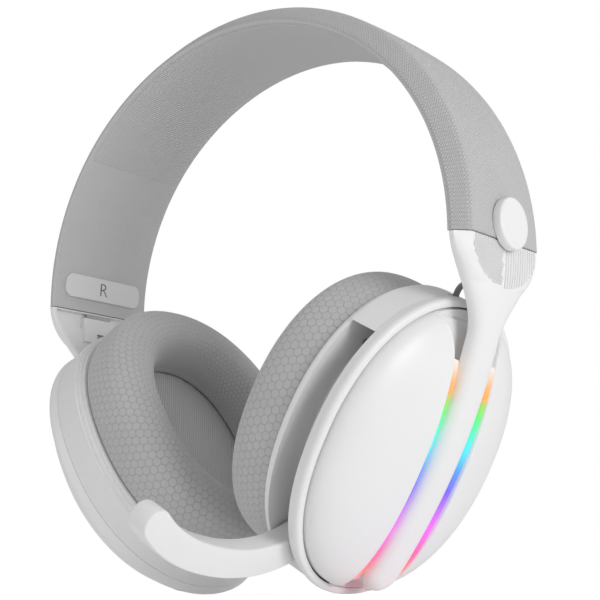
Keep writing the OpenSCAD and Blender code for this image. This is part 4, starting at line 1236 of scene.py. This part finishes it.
class HEADSET_OT_studio(bpy.types.Operator):
    """Lay the pale floor and set the soft lights"""
    bl_idname = "headset.studio"
    bl_label = "Studio"

    def execute(self, context):
        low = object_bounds()[0][2]
        mesh = bpy.data.meshes.new("floor")
        mesh.from_pydata([(-6, -6, low), (6, -6, low), (6, 6, low), (-6, 6, low)], [], [(0, 1, 2, 3)])
        material, tree, shader = new_finish("floor_pale")
        set_shader(shader, base=(0.85, 0.85, 0.85, 1), rough=1.0, level=0.0)
        shader.inputs["Emission Color"].default_value = (1, 1, 1, 1)
        seen = math_node(tree, "MULTIPLY_ADD", add(tree, "ShaderNodeLightPath").outputs["Is Camera Ray"], 0.47, 0.18)
        tree.links.new(seen, shader.inputs["Emission Strength"])
        mesh.materials.append(material)
        floor = linked("floor", mesh)
        floor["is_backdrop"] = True
        world = bpy.data.worlds.new("studio")
        world.use_nodes = True
        tree = world.node_tree
        tree.nodes.clear()
        seen, fill = (add(tree, "ShaderNodeBackground", {"Color": (1, 1, 1, 1), "Strength": strength})
                      for strength in (1.0, 0.46))
        path = add(tree, "ShaderNodeLightPath")
        both = add(tree, "ShaderNodeMixShader", {0: path.outputs["Is Camera Ray"], 1: fill.outputs[0],
                                                 2: seen.outputs[0]})
        add(tree, "ShaderNodeOutputWorld", {"Surface": both.outputs[0]})
        context.scene.world = world
        context.scene.view_settings.view_transform = "Standard"
        for name, at, size, power in (("key", (1.0, -0.12, 0.04), 0.5, 3.9), ("fill", (-0.45, -0.8, 0.0), 0.6, 0.8),
                                      ("rear", (0.4, 0.8, 0.5), 0.8, 0.6), ("top", (-0.1, -0.1, 0.9), 0.8, 0.6)):
            data = bpy.data.lights.new(name, "AREA")
            data.shape, data.size, data.energy = "DISK", size, power
            lamp = linked(name, data)
            aim = Vector((0.02, 0, -0.11)) - Vector(at)
            lamp.matrix_world = Matrix.Translation(Vector(at)) @ aim.to_track_quat("-Z", "Y").to_matrix().to_4x4()
        return {"FINISHED"}


OPERATORS = (HEADSET_OT_camera, HEADSET_OT_finishes, HEADSET_OT_band, HEADSET_OT_crown_cushion,
             HEADSET_OT_discs_and_labels, HEADSET_OT_arms, HEADSET_OT_arm_ribs, HEADSET_OT_rims,
             HEADSET_OT_outer_covers, HEADSET_OT_lights, HEADSET_OT_ear_pads, HEADSET_OT_speaker_cloths,
             HEADSET_OT_boom, HEADSET_OT_cables, HEADSET_OT_studio)


class HEADSET_PT_panel(bpy.types.Panel):
    """Lists the headset's sizes, colours and pieces"""
    bl_idname = "HEADSET_PT_panel"
    bl_label = "Headset"
    bl_space_type = "VIEW_3D"
    bl_region_type = "UI"
    bl_category = "Headset"

    def draw(self, context):
        layout = self.layout
        for settings in (context.scene.headset_sizes, context.scene.headset_colours):
            box = layout.box()
            for key in settings.__annotations__:
                box.prop(settings, key)
        for operator in OPERATORS:
            layout.operator(operator.bl_idname)


CLASSES = (HeadsetSizes, HeadsetColours) + OPERATORS + (HEADSET_PT_panel,)


def register():
    for c in CLASSES:
        bpy.utils.register_class(c)
    bpy.types.Scene.headset_sizes = PointerProperty(type=HeadsetSizes)
    bpy.types.Scene.headset_colours = PointerProperty(type=HeadsetColours)


def unregister():
    del bpy.types.Scene.headset_colours
    del bpy.types.Scene.headset_sizes
    for c in reversed(CLASSES):
        bpy.utils.unregister_class(c)


def main():
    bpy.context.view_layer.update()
    register()
    for operator in OPERATORS:
        getattr(bpy.ops.headset, operator.bl_idname.split(".")[1])()


if __name__ == "__main__":
    main()
